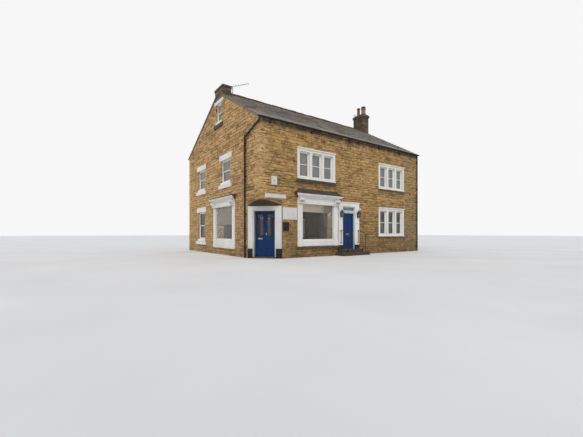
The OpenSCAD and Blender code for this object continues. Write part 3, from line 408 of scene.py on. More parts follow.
end_tree(stone_tree, closed, port["Stone"])


def masonry(name, stones, corner, along, material, seed, up=(0, 0, 1), slot="sandstone",
            cut=lambda corners: corners, arris=0.009, rough=0.006, drop=0.0):
    """Real blocks from their outlines. Corner is where across and up are 0, on the wall's face."""
    along, up, corner = Vector(along), Vector(up), Vector(corner)
    out = along.cross(up)
    points, faces, kept = [], [], []
    least_area = 0.002
    for left, right, low, high, deep, tone, dressed in stones:
        outline = cut([(left, low), (right, low), (right, high), (left, high)])
        turns = zip(outline, outline[1:] + outline[:1])
        area = sum(a[0] * b[1] - b[0] * a[1] for a, b in turns) / 2
        if len(outline) < 3 or area < least_area:
            continue
        faces.append(range(len(points), len(points) + len(outline)))
        for a, b in outline:
            sunk = deep + drop * (b - low) / (high - low)
            points.append(corner + along * a + up * b - out * sunk)
        kept.append((deep, right - left, high - low, tone, dressed))
    mesh = bpy.data.meshes.new(name)
    mesh.from_pydata(points, [], [list(f) for f in faces])
    for key, values in zip(("deep", "wide", "high", "tone", "dressed"), zip(*kept)):
        mesh.attributes.new(key, "FLOAT", "FACE").data.foreach_set("value", values)
    made = grown(mesh, stone_tree, Along=tuple(along), Up=tuple(up), Arris=arris, Rough=rough,
                 Seed=seed, Stone=material)
    made.name = name
    keep(name, made, slot)


def sandstone(name, tones, soot_from, soot, pale, grime=0.55, bed_shade=0.75, stain_and_shade_bands=()):
    """Squared sandstone. Each block has its own tone, grain, and soot from a height up. Painted shade darkens
    its hollows and beds, and a painted highlight lightens the mottling where its face stands out.
    Street dirt and damp darken the foot. Dark bands are stains under sills, and under the eaves soot with a
    painted shadow of the gutter: left, right, low, high, share."""
    stone = Finish(name, Specular_IOR_Level=0.2)
    east, north, up = stone.axes
    stops = {3: (0, 0.5, 1), 4: (0, 0.4, 0.7, 1), 5: (0, 0.15, 0.5, 0.85, 1)}[len(tones)]
    patches = stone.noise(0.9, 4, roughness=0.6)
    street = (1 - up.over(0.6, 3.4)) * (patches + 0.35).clamped()
    # The far end of the front has gone grey. Rain has washed the gable's lower half and the corner's edge.
    faded = east.over(2.5, 6.5) * patches.over(0.3, 0.7) * (1 - up.over(6.6, 7.0))
    washed = north.over(-3.6, 0.0) * (1 - up.over(4.2, 6.2)) * east.over(-5.9, -6.0)
    # Painted shade darkens the sunk hollows and the sunk beds, and a painted highlight lightens the mottling
    # where the face stands out.
    shaded_hollows = stone.noise(7.5, 5, (1, 1, 2.6), 0.62, 0.5)
    lit_mottling = stone.noise(11, 4, (1, 1, 2.2), 0.6)
    shaded_beds = stone.noise(2.7, 4, (1, 1, 5.5), 0.55, 0.8).over(0.565, 0.69)
    corner_side = east.over(-6.10, -6.12) * (1 - north.over(-4.4, -4.2))
    body = coated(
        stone.ramp(stone.attribute("tone"), *zip(stops, tones)),
        (stone.attribute("dressed") * 0.42, pale),
        (patches.over(0.40, 0.70) * 0.30, tones[-2]),
        (street * grime, (0.125, 0.082, 0.050)),
        (faded * 0.85, (0.245, 0.208, 0.145)),
        (washed * 0.30, (0.80, 0.53, 0.25)),
        (shaded_hollows.over(0.48, 0.66) * 0.70, (0.105, 0.068, 0.038)),
        (lit_mottling.over(0.52, 0.72) * 0.40, (0.62, 0.43, 0.22)),
        (shaded_beds * bed_shade, (0.085, 0.056, 0.032)),
        (corner_side * 0.42, (0.78, 0.53, 0.27)))
    grain = stone.noise(60, 4, roughness=0.65)
    grit = stone.ramp(grain, (0.3, (0.25, 0.25, 0.25)), (0.7, (0.75, 0.75, 0.75)))
    streaks = stone.noise(2.6, 4, (1, 1, 0.16), 0.6)
    smoke = up.over(soot_from, soot_from + 0.8) * streaks.over(0.35, 0.7)
    damp = (1 - up.over(0.05, 0.75)) * streaks.over(0.25, 0.65)
    body = coated(mix(0.30, body, grit, "OVERLAY"),
                  (smoke * soot, (0.055, 0.043, 0.034)), (damp * 0.5, (0.07, 0.058, 0.036)))
    for left, right, low, high, share in stain_and_shade_bands:
        across = east.over(left - 0.15, left + 0.1) * (1 - east.over(right - 0.1, right + 0.15))
        down = up.over(low, high) * (1 - up.over(high, high + 0.02))
        body = mix(across * down * (streaks + 0.5).clamped() * share, body, (0.050, 0.044, 0.036))
    height = grain * 0.25 - shaded_hollows * 1.6 + lit_mottling * 0.9 - shaded_beds * 1.4
    return stone.done(body, 0.97 - grain * 0.15, height, 0.022, 0.9)


def mortar(name, colour, dark):
    """Sandy lime mortar, weathered back from the stones' faces."""
    lime = Finish(name, Specular_IOR_Level=0.2, Roughness=0.95)
    grit = lime.noise(90, 3)
    stain = lime.noise(1.7, 4, roughness=0.6)
    colour = mix(stain.over(0.4, 0.7) * 0.8, colour, dark)
    colour = mix(0.3, colour, lime.ramp(grit, (0.3, (0.3, 0.3, 0.3)), (0.7, (0.7, 0.7, 0.7))), "OVERLAY")
    return lime.done(colour, height=grit, depth=0.004, strength=0.6)


# The last band, under the gutter, is soot and a painted shadow of the gutter.
front_stone = sandstone(
    "brown_sandstone", [(0.26, 0.158, 0.070), (0.40, 0.245, 0.092), (0.50, 0.310, 0.112),
                        (0.58, 0.368, 0.145), (0.52, 0.270, 0.110)], 5.65, 0.70, pale=(0.80, 0.525, 0.26),
    stain_and_shade_bands=[(-4.10, -1.42, 3.36, 3.77, 0.95), (-5.50, -4.25, 3.28, 3.70, 0.45),
           (2.0, 4.65, 3.30, 3.77, 0.5), (2.0, 4.65, 0.40, 0.90, 0.4), (-6.0, 6.1, 6.08, 6.34, 1.0)])
front_mortar = mortar("brown_mortar", (0.120, 0.078, 0.040), (0.055, 0.037, 0.023))
wall_plaster = mortar("wall_plaster", (0.50, 0.47, 0.42), (0.36, 0.33, 0.29))
FRONT_Y, GABLE_X, REAR_Y, PARTY_X, EAVES_Z = -5.0, -6.1, 5.0, 6.1, 6.4
for node in ("front_wall_shop_side", "front_wall_window_side"):
    core(node, front_mortar, [(0, -1, 0)], wall_plaster)
core("front_wall_upper", front_mortar, [(0, -1, 0), (-1, 0, 0)], wall_plaster)
SPLAY = 1.2
CORBEL_TOP = 2.75
SHOPFRONT_HEAD = 3.06
# A window's levels are the foot of its sill, the foot and head of its opening, and the top of its lintel.
SASHES_UP, SASHES_DOWN = (3.65, 3.85, 5.22, 5.52), (0.47, 0.67, 2.53, 2.83)
LIGHTS_UP, LIGHTS_DOWN = (3.76, 3.86, 5.41, 5.41), (0.89, 0.99, 2.75, 2.75)


def window_gaps(middle, levels, half, ears):
    """What a window takes out of a wall: its opening, and the sill and lintel that run past it."""
    sill, foot, head, lintel = levels
    wide = (middle - half - ears, middle + half + ears)
    return [(middle - half, middle + half, foot, head), (*wide, sill, foot), (*wide, head, lintel)]


splay_end = GABLE_X + SPLAY
shopfront_gap, doorway_gap = (-3.99, -1.38, 0.42, SHOPFRONT_HEAD), (-1.24, 0.30, 0.0, 2.86)
front_gaps = [(GABLE_X, splay_end, 0.0, CORBEL_TOP), shopfront_gap, doorway_gap]
LEFT_LIGHTS, RIGHT_LIGHTS = -2.76, 3.325
LIGHTS_HALF, LIGHTS_EARS = 1.26, 0.06
for middle, levels in ((LEFT_LIGHTS, LIGHTS_UP), (RIGHT_LIGHTS, LIGHTS_UP), (RIGHT_LIGHTS, LIGHTS_DOWN)):
    front_gaps += window_gaps(middle, levels, LIGHTS_HALF, LIGHTS_EARS)
marks = [z for gap in front_gaps for z in gap[2:]] + [*SASHES_UP, *SASHES_DOWN]
chance = random.Random(11)
wall_beds = beds_between(0, EAVES_Z, marks, 0.150, chance)


def doubled(beds, low, high):
    """Pairs of courses between two heights, for the taller blocks at corners."""
    inside = [bed for bed in beds if low - 0.001 <= bed <= high + 0.001]
    picked = inside[::2] + (inside[-1:] if len(inside) % 2 == 0 else [])
    return list(zip(picked, picked[1:]))


def ties(low, high, widths, place, depth, dressed):
    """Taller blocks one over another, long and short in turn, that bond the end of a wall."""
    blocks = []
    for k, (foot, head) in enumerate(doubled(wall_beds, low, high)):
        left, right = place(widths[k % 2])
        blocks.append((left, right, foot + 0.004, head - 0.004, depth, chance.random(), dressed))
    return blocks


def around(blocks):
    """The gaps that blocks leave for the courses beside them."""
    return [(a, b, c - 0.004, d + 0.004) for a, b, c, d, *_ in blocks]


corner_blocks = []
for k, (low, high) in enumerate(doubled(wall_beds, CORBEL_TOP, EAVES_Z)):
    corner_blocks.append((low, high, (0.40, 0.66) if k % 2 else (0.28, 0.44), chance.random()))
front_quoins = [(GABLE_X, GABLE_X + on_front, low + 0.006, high - 0.006, on_gable, tone, 1.0)
                for low, high, (on_front, on_gable), tone in corner_blocks]
front_quoins += ties(0, CORBEL_TOP, (0.30, 0.44), lambda wide: (splay_end, splay_end + wide), 0.1, 0.7)
front_quoins += ties(0, EAVES_Z, (0.34, 0.52), lambda wide: (PARTY_X - wide, PARTY_X), 0.1, 0.0)
front_stones = lay(GABLE_X, PARTY_X, wall_beds, front_gaps + around(front_quoins), 0.34, chance)
masonry("front_wall_stones", front_quoins + front_stones, (0, FRONT_Y, 0), (1, 0, 0), front_stone, 3)


# Gable wall. The same stone in the same courses, paler where the weather washes it, up to the slates.
# Smooth long blocks tie it to the front at the corner, and the courses are cut to the slopes of the roof.
gable_stone = sandstone(
    "pale_sandstone", [(0.25, 0.150, 0.070), (0.41, 0.255, 0.110), (0.53, 0.335, 0.148),
                       (0.66, 0.425, 0.190), (0.54, 0.290, 0.125)], 8.2, 0.5, pale=(0.80, 0.52, 0.25),
    grime=0.36)
for node in ("gable_wall_ground", "gable_wall_upper"):
    core(node, front_mortar, [(-1, 0, 0), (0, 1, 0)], wall_plaster)
SASH_HALF, SASH_EARS = 0.625, 0.19
gable_end = -FRONT_Y
rear_tie = 0.3
NEAR_SASH, FAR_SASH, ATTIC_SASH = 1.19, -2.555, 0.28
shopfront_gap, stack_gap = (-0.37, 2.45, 0.37, SHOPFRONT_HEAD), (-0.255, 0.855, 8.81, 9.2)
gable_gaps = [(gable_end - SPLAY, gable_end, 0.0, CORBEL_TOP), shopfront_gap, stack_gap]
for middle, levels in ((NEAR_SASH, SASHES_UP), (FAR_SASH, SASHES_UP), (FAR_SASH, SASHES_DOWN)):
    gable_gaps += window_gaps(middle, levels, SASH_HALF, SASH_EARS)
attic_half, attic_levels = 0.42, (7.2, 7.4, 8.59, 8.78)
gable_gaps += window_gaps(ATTIC_SASH, attic_levels, attic_half, SASH_EARS)
RIDGE_U, RIDGE_Z = 0.3, 9.18


def under_roof(corners):
    """The part of a stone's outline below both slopes."""
    rise = RIDGE_Z - EAVES_Z
    near = trimmed(corners, (gable_end, EAVES_Z), (rise, gable_end - RIDGE_U))
    return trimmed(near, (-gable_end, EAVES_Z), (-rise, gable_end + RIDGE_U)) if len(near) > 2 else []


edge = gable_end - SPLAY
gable_quoins = ties(0, CORBEL_TOP, (0.50, 0.34), lambda wide: (edge - wide, edge), 0.1, 0.8)
blocked = gable_gaps + around(gable_quoins)
blocked += [(gable_end - on_gable, gable_end, low, high) for low, high, (_, on_gable), _ in corner_blocks]
high_beds = beds_between(EAVES_Z, RIDGE_Z, attic_levels, 0.155, chance)
gable_stones = lay(rear_tie - gable_end, gable_end, wall_beds, blocked, 0.36, chance)
gable_stones += lay(-gable_end, gable_end, high_beds, gable_gaps, 0.36, chance)
masonry("gable_wall_stones", gable_quoins + gable_stones, (GABLE_X, 0, 0), (0, -1, 0), gable_stone, 5,
        cut=under_roof)


# Rear wall and party wall. The rear repeats the gable's stone, and its end blocks tie into the gable.
# The party wall against the next house is never seen, so it is left as rough rubble under a lime coat.
core("rear_wall", front_mortar, [(0, 1, 0)], wall_plaster)
rear_middles = (-3.6, 0.0, 3.6)
rear_gaps = []
for middle in rear_middles:
    for levels in (SASHES_UP, SASHES_DOWN):
        rear_gaps += window_gaps(middle, levels, SASH_HALF, SASH_EARS)
rear_quoins = ties(0, EAVES_Z, (0.38, 0.56), lambda wide: (-GABLE_X - wide, -GABLE_X), rear_tie, 0.7)
rear_stones = lay(-PARTY_X, -GABLE_X, wall_beds, rear_gaps + around(rear_quoins), 0.38, chance)
masonry("rear_wall_stones", rear_quoins + rear_stones, (0, REAR_Y, 0), (-1, 0, 0), gable_stone, 7)


def paint(material, *nodes):
    """Gives CAD nodes whose shape is right their finish."""
    for node in nodes:
        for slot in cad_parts[node].material_slots:
            slot.material = material


coat = Finish("lime_coat", Specular_IOR_Level=0.2, Roughness=0.95)
lumps = coat.noise(2.2, 5, roughness=0.6)
bare = coat.noise(0.8, 5, roughness=0.65).over(0.52, 0.62)
coat_colour = coated((0.40, 0.36, 0.29), (lumps.over(0.35, 0.7), (0.30, 0.265, 0.21)),
                     (bare * 0.7, (0.22, 0.155, 0.085)))
rubble = lumps + coat.cells(3.5, (1, 1, 1.8)) * 0.7
paint(coat.done(coat_colour, height=rubble, depth=0.03, strength=0.9), "party_wall")


# Splayed corner. Blocks beside the doorway stand behind its white case, and over it big stones run
# out to the square corner, hollowed below to one smooth cove, near-black with soot and painted shade.
paint(gable_stone, "corner_piers")
cove_shade_stone = sandstone(
    "sooty_shaded_cove", [(0.048, 0.034, 0.031), (0.066, 0.046, 0.042), (0.085, 0.060, 0.052)], 2.0, 0.4,
    pale=(0.058, 0.042, 0.038))


def finished(name, shape, slot, *nodes, materials, body="building", soften=0.003, smooth=0):
    """A shape as a piece, with its sharp edges eased and its gentle ones shaded smooth."""
    if smooth:
        for face in shape.faces:
            face.smooth = True
        for edge in shape.edges:
            edge.smooth = len(edge.link_faces) == 2 and edge.calc_face_angle(0) < math.radians(smooth)
    piece = keep(name, solid(name, shape, *materials), slot, *nodes, body=body)
    if soften:
        eased = piece.modifiers.new("eased_edges", "BEVEL")
        eased.width, eased.segments, eased.angle_limit = soften, 2, math.radians(35)


# Faces of the cove look down and are near-black, soot with painted shade. The others are as clean as the wall
# above.
corbel = merged("corner_corbel")
for face in corbel.faces:
    face.material_index = 0 if face.normal.z < -0.3 else 1
finished("corbel_stones", corbel, "dark_stone", "corner_corbel", materials=[cove_shade_stone, front_stone],
         soften=0.010)


# Floors. Worn flags on the ground floor, the house's raised level with its top step, and bare deal
# boards over the timber floors of the two upper storeys.
flag = Finish("worn_flags", Specular_IOR_Level=0.3)
flag_edge = flag.cells(1.4, (1, 1.5, 1), "DISTANCE_TO_EDGE").over(0.0, 0.018)
flag_tone = flag.noise(1.2, 5, roughness=0.6)
flag_colour = mix(flag_tone.over(0.3, 0.7), (0.27, 0.24, 0.20), (0.40, 0.36, 0.31))
paint(flag.done(mix(flag_edge, (0.09, 0.08, 0.065), flag_colour), 0.85 - flag_tone * 0.2,
                flag_edge + flag.noise(20, 4) * 0.3, 0.008), "ground_floor")
deal = Finish("deal_boards", Specular_IOR_Level=0.35)
across = deal.axes[1] / 0.16
board_edge = deal.node("ShaderNodeMath", {"operation": "PINGPONG"}, {0: across, 1: 0.5}).over(0.0, 0.02)
deal_grain = deal.noise(3.0, 6, (0.25, 9, 9), 0.6, 0.6)
deal_colour = mix(deal_grain, (0.27, 0.17, 0.095), (0.50, 0.355, 0.215))
paint(deal.done(mix(board_edge, (0.05, 0.035, 0.02), deal_colour), 0.75 - deal_grain * 0.15,
                board_edge + deal_grain * 0.25, 0.004), "first_floor", "attic_floor")


# Roof. Split stone slates on laths, wide and long at the eaves and shorter towards the ridge, each
# nailed over the two below. The two lowest courses are paler slabs, and lichen grows on the rest.
slate = Finish("stone_slate", Specular_IOR_Level=0.3)
rusty = slate.noise(0.55, 4, roughness=0.6).over(0.45, 0.68)
lichen = slate.noise(4.5, 6, roughness=0.7).over(0.55, 0.66)
moss = slate.noise(2.1, 5, roughness=0.7).over(0.63, 0.72)
slate_colour = coated(
    slate.ramp(slate.attribute("tone"), (0.0, (0.060, 0.050, 0.042)), (0.35, (0.140, 0.122, 0.108)),
               (0.7, (0.215, 0.192, 0.168)), (1.0, (0.30, 0.235, 0.175))),
    (rusty * 0.5, (0.20, 0.125, 0.075)),
    (lichen * 0.65, (0.36, 0.345, 0.27)),
    (moss * 0.6, (0.085, 0.095, 0.035)),
    (0.12, (0.62, 0.60, 0.56)),
    (slate.attribute("dressed") * 0.75, (0.33, 0.315, 0.30)))
riven = slate.noise(9, 5, (1, 1, 1), 0.65)
slate_finish = slate.done(slate_colour, 0.9 - riven * 0.2, riven + slate.noise(60, 3) * 0.3, 0.012, 0.9)
slate_bed = mortar("torching", (0.24, 0.21, 0.17), (0.11, 0.095, 0.08))


def slated(name, node, eave, way, run, ends, length, notches, seed):
    """Slates in courses that get shorter up the slope, round the chimneys' notches.
    Eave is a place on the lowest edge, way leads along it, and run is how far back the ridge is.
    A notch is its left and right sides and how far up the slope it starts."""
    rise = RIDGE_Z - EAVES_Z
    fall = math.hypot(run, rise)
    up = (0, run / fall, rise / fall)
    core(node, slate_bed, [Vector(way).cross(Vector(up))], slate_bed, 0.045, "stone_slate")
    chance = random.Random(seed)
    eaves_course, ridge_course, eaves_width, ridge_width = 0.36, 0.16, 0.52, 0.36
    beds = [0.0]
    while beds[-1] < length - 0.1:
        beds.append(beds[-1] + eaves_course - (eaves_course - ridge_course) * beds[-1] / length)
    beds[-1] = length
    notches = [(left, right, foot, length + 1) for left, right, foot in notches]
    slates = []
    for k, (low, high) in enumerate(zip(beds, beds[1:])):
        width = eaves_width - (eaves_width - ridge_width) * low / length
        course = lay(*ends, [low, high], notches, width, chance, depth=0.028, jamb=0.028, joint=0.006,
                     proud=0)
        for left, right, foot, head, deep, tone, _ in course:
            head = min(head + 0.035, length)
            slates.append((left, right, foot, head, deep, tone, 1.0 if k < 2 else 0.0))
    masonry(name, slates, eave, way, slate_finish, seed, up, "stone_slate", arris=0.004, rough=0.030,
            drop=0.030)


slated("front_slates", "roof_front_slope", (0, -5.06, 6.4925), (1, 0, 0), 4.7, (-6.14, 6.1), 5.53,
       [(-6.2, -5.58, 4.886), (5.45, 6.2, 4.949)], 21)
slated("rear_slates", "roof_rear_slope", (0, 5.06, 6.4965), (-1, 0, 0), -5.3, (-6.1, 6.14), 6.052,
       [(5.58, 6.2, 5.426), (-6.2, -5.45, 5.488)], 22)


# Ridge. Angled stones bedded in mortar over the meeting of the slopes, each two feet long. The roof has
# settled under them, so that each one sits and tilts a little apart from its neighbours.
ridge_stone = sandstone(
    "ridge_stone", [(0.085, 0.072, 0.064), (0.12, 0.10, 0.09), (0.15, 0.125, 0.11)], 5.0, 0.3,
    pale=(0.13, 0.11, 0.10))


def facing_out(shape):
    """The shape with all its faces turned outwards."""
    bmesh.ops.recalc_face_normals(shape, faces=shape.faces)
    return shape


def sliced(node, cuts, gap):
    """The node cut along X into pieces, with a joint between them."""
    whole = bmesh.new()
    way = Vector((1, 0, 0))
    for low, high in zip(cuts, cuts[1:]):
        part = merged(node)
        for place, sign in ((low + gap / 2, -1), (high - gap / 2, 1)):
            cut = bmesh.ops.bisect_plane(part, geom=part.verts[:] + part.edges[:] + part.faces[:],
                                         plane_co=way * place, plane_no=way * sign, clear_outer=True)
            edges = [e for e in cut["geom_cut"] if isinstance(e, bmesh.types.BMEdge)]
            bmesh.ops.contextual_create(part, geom=edges)
        mesh = solid("part", part)
        whole.from_mesh(mesh)
        bpy.data.meshes.remove(mesh)
    return facing_out(whole)


ridge_low, ridge_high = (v.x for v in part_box("ridge_tiles"))
stone_length = 0.6
count = round((ridge_high - ridge_low) / stone_length)
ridge_cuts = [ridge_low + (ridge_high - ridge_low) * k / count for k in range(count + 1)]
ridge_shape = sliced("ridge_tiles", ridge_cuts, 0.010)
chance = random.Random(17)
settled = [(chance.uniform(-0.004, 0.020), chance.uniform(-0.030, 0.030)) for _ in range(count)]
for corner in ridge_shape.verts:
    k = min(int((corner.co.x - ridge_low) / (ridge_high - ridge_low) * count), count - 1)
    rise, tilt = settled[k]
    corner.co.z += rise + tilt * (corner.co.x - (ridge_cuts[k] + ridge_cuts[k + 1]) / 2)
finished("ridge_stones", ridge_shape, "dark_stone", "ridge_tiles", materials=[ridge_stone], soften=0.010)


# Chimneys. Stacks of squared stone blackened by smoke, the low one flush with the gable and the tall one
# astride the party wall. Each has a weathered cap, and the pots are set in a fillet of mortar.
smoky_stone = sandstone(
    "smoky_sandstone", [(0.060, 0.048, 0.042), (0.105, 0.082, 0.066), (0.145, 0.110, 0.080),
                        (0.19, 0.145, 0.10)], 9.2, 0.6, pale=(0.085, 0.072, 0.062))
smoky_mortar = mortar("smoky_mortar", (0.085, 0.070, 0.058), (0.035, 0.030, 0.027))


def stack_stones(name, low, high, bed_height, seed):
    """Stones on the four sides of a stack. The long sides run through at the corners."""
    chance = random.Random(seed)
    beds = beds_between(low[2], high[2], [], bed_height, chance)
    middle_x, middle_y = (low[0] + high[0]) / 2, (low[1] + high[1]) / 2
    half_x, half_y = (high[0] - low[0]) / 2, (high[1] - low[1]) / 2
    corner_depth = 0.1
    for k, way in enumerate(((1, 0, 0), (-1, 0, 0), (0, 1, 0), (0, -1, 0))):
        half, far, inset = (half_x, half_y, 0) if k < 2 else (half_y, half_x, corner_depth)
        face = Vector((middle_x, middle_y, 0)) + Vector(way).cross(Vector((0, 0, 1))) * far
        stones = lay(inset - half, half - inset, beds, [], 0.34, chance, depth=0.06, jamb=corner_depth,
                     joint=0.007, proud=0)
        masonry(f"{name}_{'abcd'[k]}", stones, face, way, smoky_stone, seed + k, arris=0.012, rough=0.012)


def slabs(name, outline, top, thick, seed):
    """Two cap slabs laid side by side along Y."""
    x0, x1, y0, y1 = outline
    middle = y0 + (y1 - y0) * 0.47
    joint = 0.006
    chance = random.Random(seed)
    stones = [(x0, x1, low, high, thick, chance.random(), 1.0)
              for low, high in ((y0, middle - joint), (middle, y1))]
    masonry(name, stones, (0, 0, top), (1, 0, 0), smoky_stone, seed, up=(0, 1, 0), arris=0.014, rough=0.012)


stack_sides = [(0, -1, 0), (0, 1, 0), (-1, 0, 0), (1, 0, 0)]
core("gable_chimney", smoky_mortar, stack_sides + [(0, 0, 1)], smoky_mortar, 0.013)
stack_stones("gable_stack", (-6.1, -0.855, 8.81), (-5.58, 0.255, 9.373), 0.19, 31)
slabs("gable_stack_cap", (-6.13, -5.55, -0.885, 0.285), 9.493, 0.12, 32)
core("party_chimney", smoky_mortar, stack_sides, smoky_mortar, 0.013)
stack_stones("party_stack", (5.45, -0.8, 8.80), (6.1, 0.2, 10.448), 0.205, 33)
slabs("party_stack_cap", (5.405, 6.145, -0.845, 0.245), 10.368, 0.15, 34)


def lathe(shape, middle, rings, steps=32, material=0):
    """A turned shape about an upright axis from pairs of radius and height."""
    loops = []
    for radius, height in rings:
        if radius < 1e-6:
            loops.append([shape.verts.new((middle[0], middle[1], middle[2] + height))])
            continue
        loops.append([shape.verts.new((middle[0] + radius * math.cos(2 * math.pi * k / steps),
                                       middle[1] + radius * math.sin(2 * math.pi * k / steps),
                                       middle[2] + height)) for k in range(steps)])
    for below, above in zip(loops, loops[1:]):
        for k in range(steps):
            corners = [below[k % len(below)], below[(k + 1) % len(below)],
                       above[(k + 1) % len(above)], above[k % len(above)]]
            corners = [c for i, c in enumerate(corners) if c not in corners[:i]]
            if len(corners) > 2:
                shape.faces.new(corners).material_index = material


stack_x, stack_y, stack_top = 5.775, -0.3, 10.448
flaunching = bmesh.new()
for side in (-0.25, 0.25):
    lathe(flaunching, (stack_x, stack_y + side, stack_top),
          [(0.19, -0.004), (0.235, -0.004), (0.225, 0.03), (0.20, 0.055), (0.19, 0.06)])
finished("pot_flaunching", facing_out(flaunching), "sandstone", materials=[smoky_mortar], soften=0, smooth=50)


def smoked(name, tones, smoke_scale, stretch, spread, share, top, top_share, black, roughness):
    """Fired clay, stained by smoke all over and blackened towards the rim."""
    clay = Finish(name, Specular_IOR_Level=0.4)
    smoke = clay.noise(smoke_scale, 4, (1, 1, stretch), 0.6)
    colour = coated(tones[0], (smoke.over(*spread) * share, tones[1]),
                    (clay.axes[2].over(*top) * top_share, black))
    return clay.done(colour, roughness - smoke * 0.2, smoke, 0.006)


red_clay = smoked("smoked_clay", ((0.22, 0.075, 0.045), (0.07, 0.042, 0.036)), 5, 0.4, (0.3, 0.7), 0.7,
                  (10.75, 11.15), 0.6, (0.03, 0.024, 0.022), 0.75)
buff_clay = smoked("buff_clay", ((0.27, 0.215, 0.145), (0.095, 0.085, 0.065)), 6, 0.5, (0.35, 0.7), 0.6,
                   (10.7, 11.0), 0.5, (0.05, 0.045, 0.04), 0.8)
# The front pot is of buff clay and the other one of red.
pots = merged("chimney_pots")
for face in pots.faces:
    face.material_index = 0 if face.calc_center_median().y > stack_y else 1
finished("turned_pots", pots, "terracotta", "chimney_pots", materials=[red_clay, buff_clay], soften=0,
         smooth=40)


# Rainwater goods. Half-round iron gutters on brackets at the wall head, a pipe with a swan neck by the
# gable and a second by the party wall, all in black paint that has dulled and let rust through.
iron = Finish("black_iron", Specular_IOR_Level=0.30)
rust = iron.noise(7, 5, (1, 1, 0.5), 0.65)
dull = iron.noise(1.6, 4)
iron_colour = coated((0.014, 0.012, 0.012), (dull.over(0.35, 0.7), (0.036, 0.030, 0.028)),
                     (rust.over(0.62, 0.72) * 0.6, (0.11, 0.045, 0.022)))
iron_finish = iron.done(iron_colour, 0.45 + rust * 0.35, rust, 0.002)
paint(iron_finish, "front_gutter", "rear_gutter")
bracket_top, bracket_out = EAVES_Z - 0.07, 0.085
brackets = bmesh.new()
# Each bracket is its middle, how far its foot is under the eaves, and half its width.
for x, drop, half in ((-5.58, 0.20, 0.035), (-3.13, 0.23, 0.055), (-0.455, 0.26, 0.035),
                      (0.31, 0.20, 0.055), (2.06, 0.23, 0.035), (4.10, 0.26, 0.055)):
    low = EAVES_Z - drop
    foot = [(x - half, FRONT_Y, low), (x + half, FRONT_Y, low),
            (x + half, FRONT_Y, bracket_top), (x - half, FRONT_Y, bracket_top)]
    toe = []
    for a, b, z in foot:
        back, up = (0.03, 0.05) if z == low else (0, 0)
        toe.append((a, b - bracket_out + back, z + up))
    for side in (1, -1):
        corners = [brackets.verts.new((a, b * side, z)) for a, b, z in foot + toe]
        for face in ((0, 1, 2, 3), (4, 7, 6, 5), (0, 4, 5, 1), (1, 5, 6, 2), (2, 6, 7, 3), (3, 7, 4, 0)):
            brackets.faces.new([corners[i] for i in face])
finished("eaves_brackets", facing_out(brackets), "black_metal", materials=[iron_finish], soften=0.004)


def dress(node, slot, *materials, choose=None, **ways):
    """A copy of a CAD node with its sharp edges eased by plane, chisel or brush."""
    shape = merged(node)
    if choose:
        for face in shape.faces:
            face.material_index = choose(face.calc_center_median(), face.normal)
    finished(node + "_dressed", shape, slot, node, materials=materials, **ways)


for node in ("gable_downpipe", "front_downpipe", "pot_cowl"):
    dress(node, "black_metal", iron_finish, soften=0, smooth=40)


# Shopfronts. White gloss timber on stone: reeded pilasters, scrolled consoles, a plain fascia and a
# mitred cornice under a small lead roof, with a panelled apron and one big pane between.
white = Finish("white_gloss", Specular_IOR_Level=0.5)
white_dirt = white.noise(1.7, 5, (1, 1, 0.5), 0.65)
brushed = white.noise(40, 4, (1, 1, 0.12), 0.6)
white_foot = (1 - white.axes[2].over(0.1, 0.8)) * white_dirt.over(0.25, 0.7)
white_chips = white.noise(16, 5, roughness=0.7).over(0.69, 0.72)
white_colour = coated((0.78, 0.765, 0.735), (white_dirt.over(0.42, 0.75) * 0.45, (0.56, 0.53, 0.48)),
                      (white_foot * 0.55, (0.26, 0.22, 0.17)), (white_chips * 0.5, (0.30, 0.27, 0.22)))
white_finish = white.done(white_colour, 0.38 + brushed * 0.25, brushed - white_chips * 0.8, 0.0015, 0.7)
for node in ("shopfront_pilasters", "shopfront_fascias", "shopfront_cornices", "shopfront_aprons"):
    dress(node, "white_timber", white_finish)


def worn(name, patches, spread, share, colour, worn_colour, roughness, depth, **constants):
    """A plain finish that is worn or dirty in patches. Roughness is its least and what the patches add."""
    finish = Finish(name, **constants)
    tone = finish.noise(*patches)
    colour = mix(tone.over(*spread) * share, colour, worn_colour)
    return finish.done(colour, roughness[0] + tone * roughness[1], tone, depth)


shaded_grimy_finish = worn("grimy_shaded_white", (6, 5, (1, 1, 0.6), 0.65), (0.35, 0.7), 1.0, (0.50, 0.47, 0.45),
                    (0.24, 0.21, 0.19), (0.6, 0.2), 0.002, Specular_IOR_Level=0.4)
# The undersides and cheeks of the consoles are a darker grey white: dirt where rain can't reach, and painted
# shade.
dress("shopfront_consoles", "white_timber", white_finish, shaded_grimy_finish,
      choose=lambda at, way: 1 if way.z < -0.25 or abs(way.z) < 0.1 and max(-way.y, -way.x) < 0.5 else 0)
dress("shopfront_sashes", "white_timber", white_finish, soften=0.004)
sill_stone = sandstone(
    "sill_stone", [(0.10, 0.072, 0.045), (0.145, 0.10, 0.062), (0.19, 0.13, 0.08)], 6.0, 0.3,
    pale=(0.14, 0.10, 0.065), grime=0.0, bed_shade=0.3)
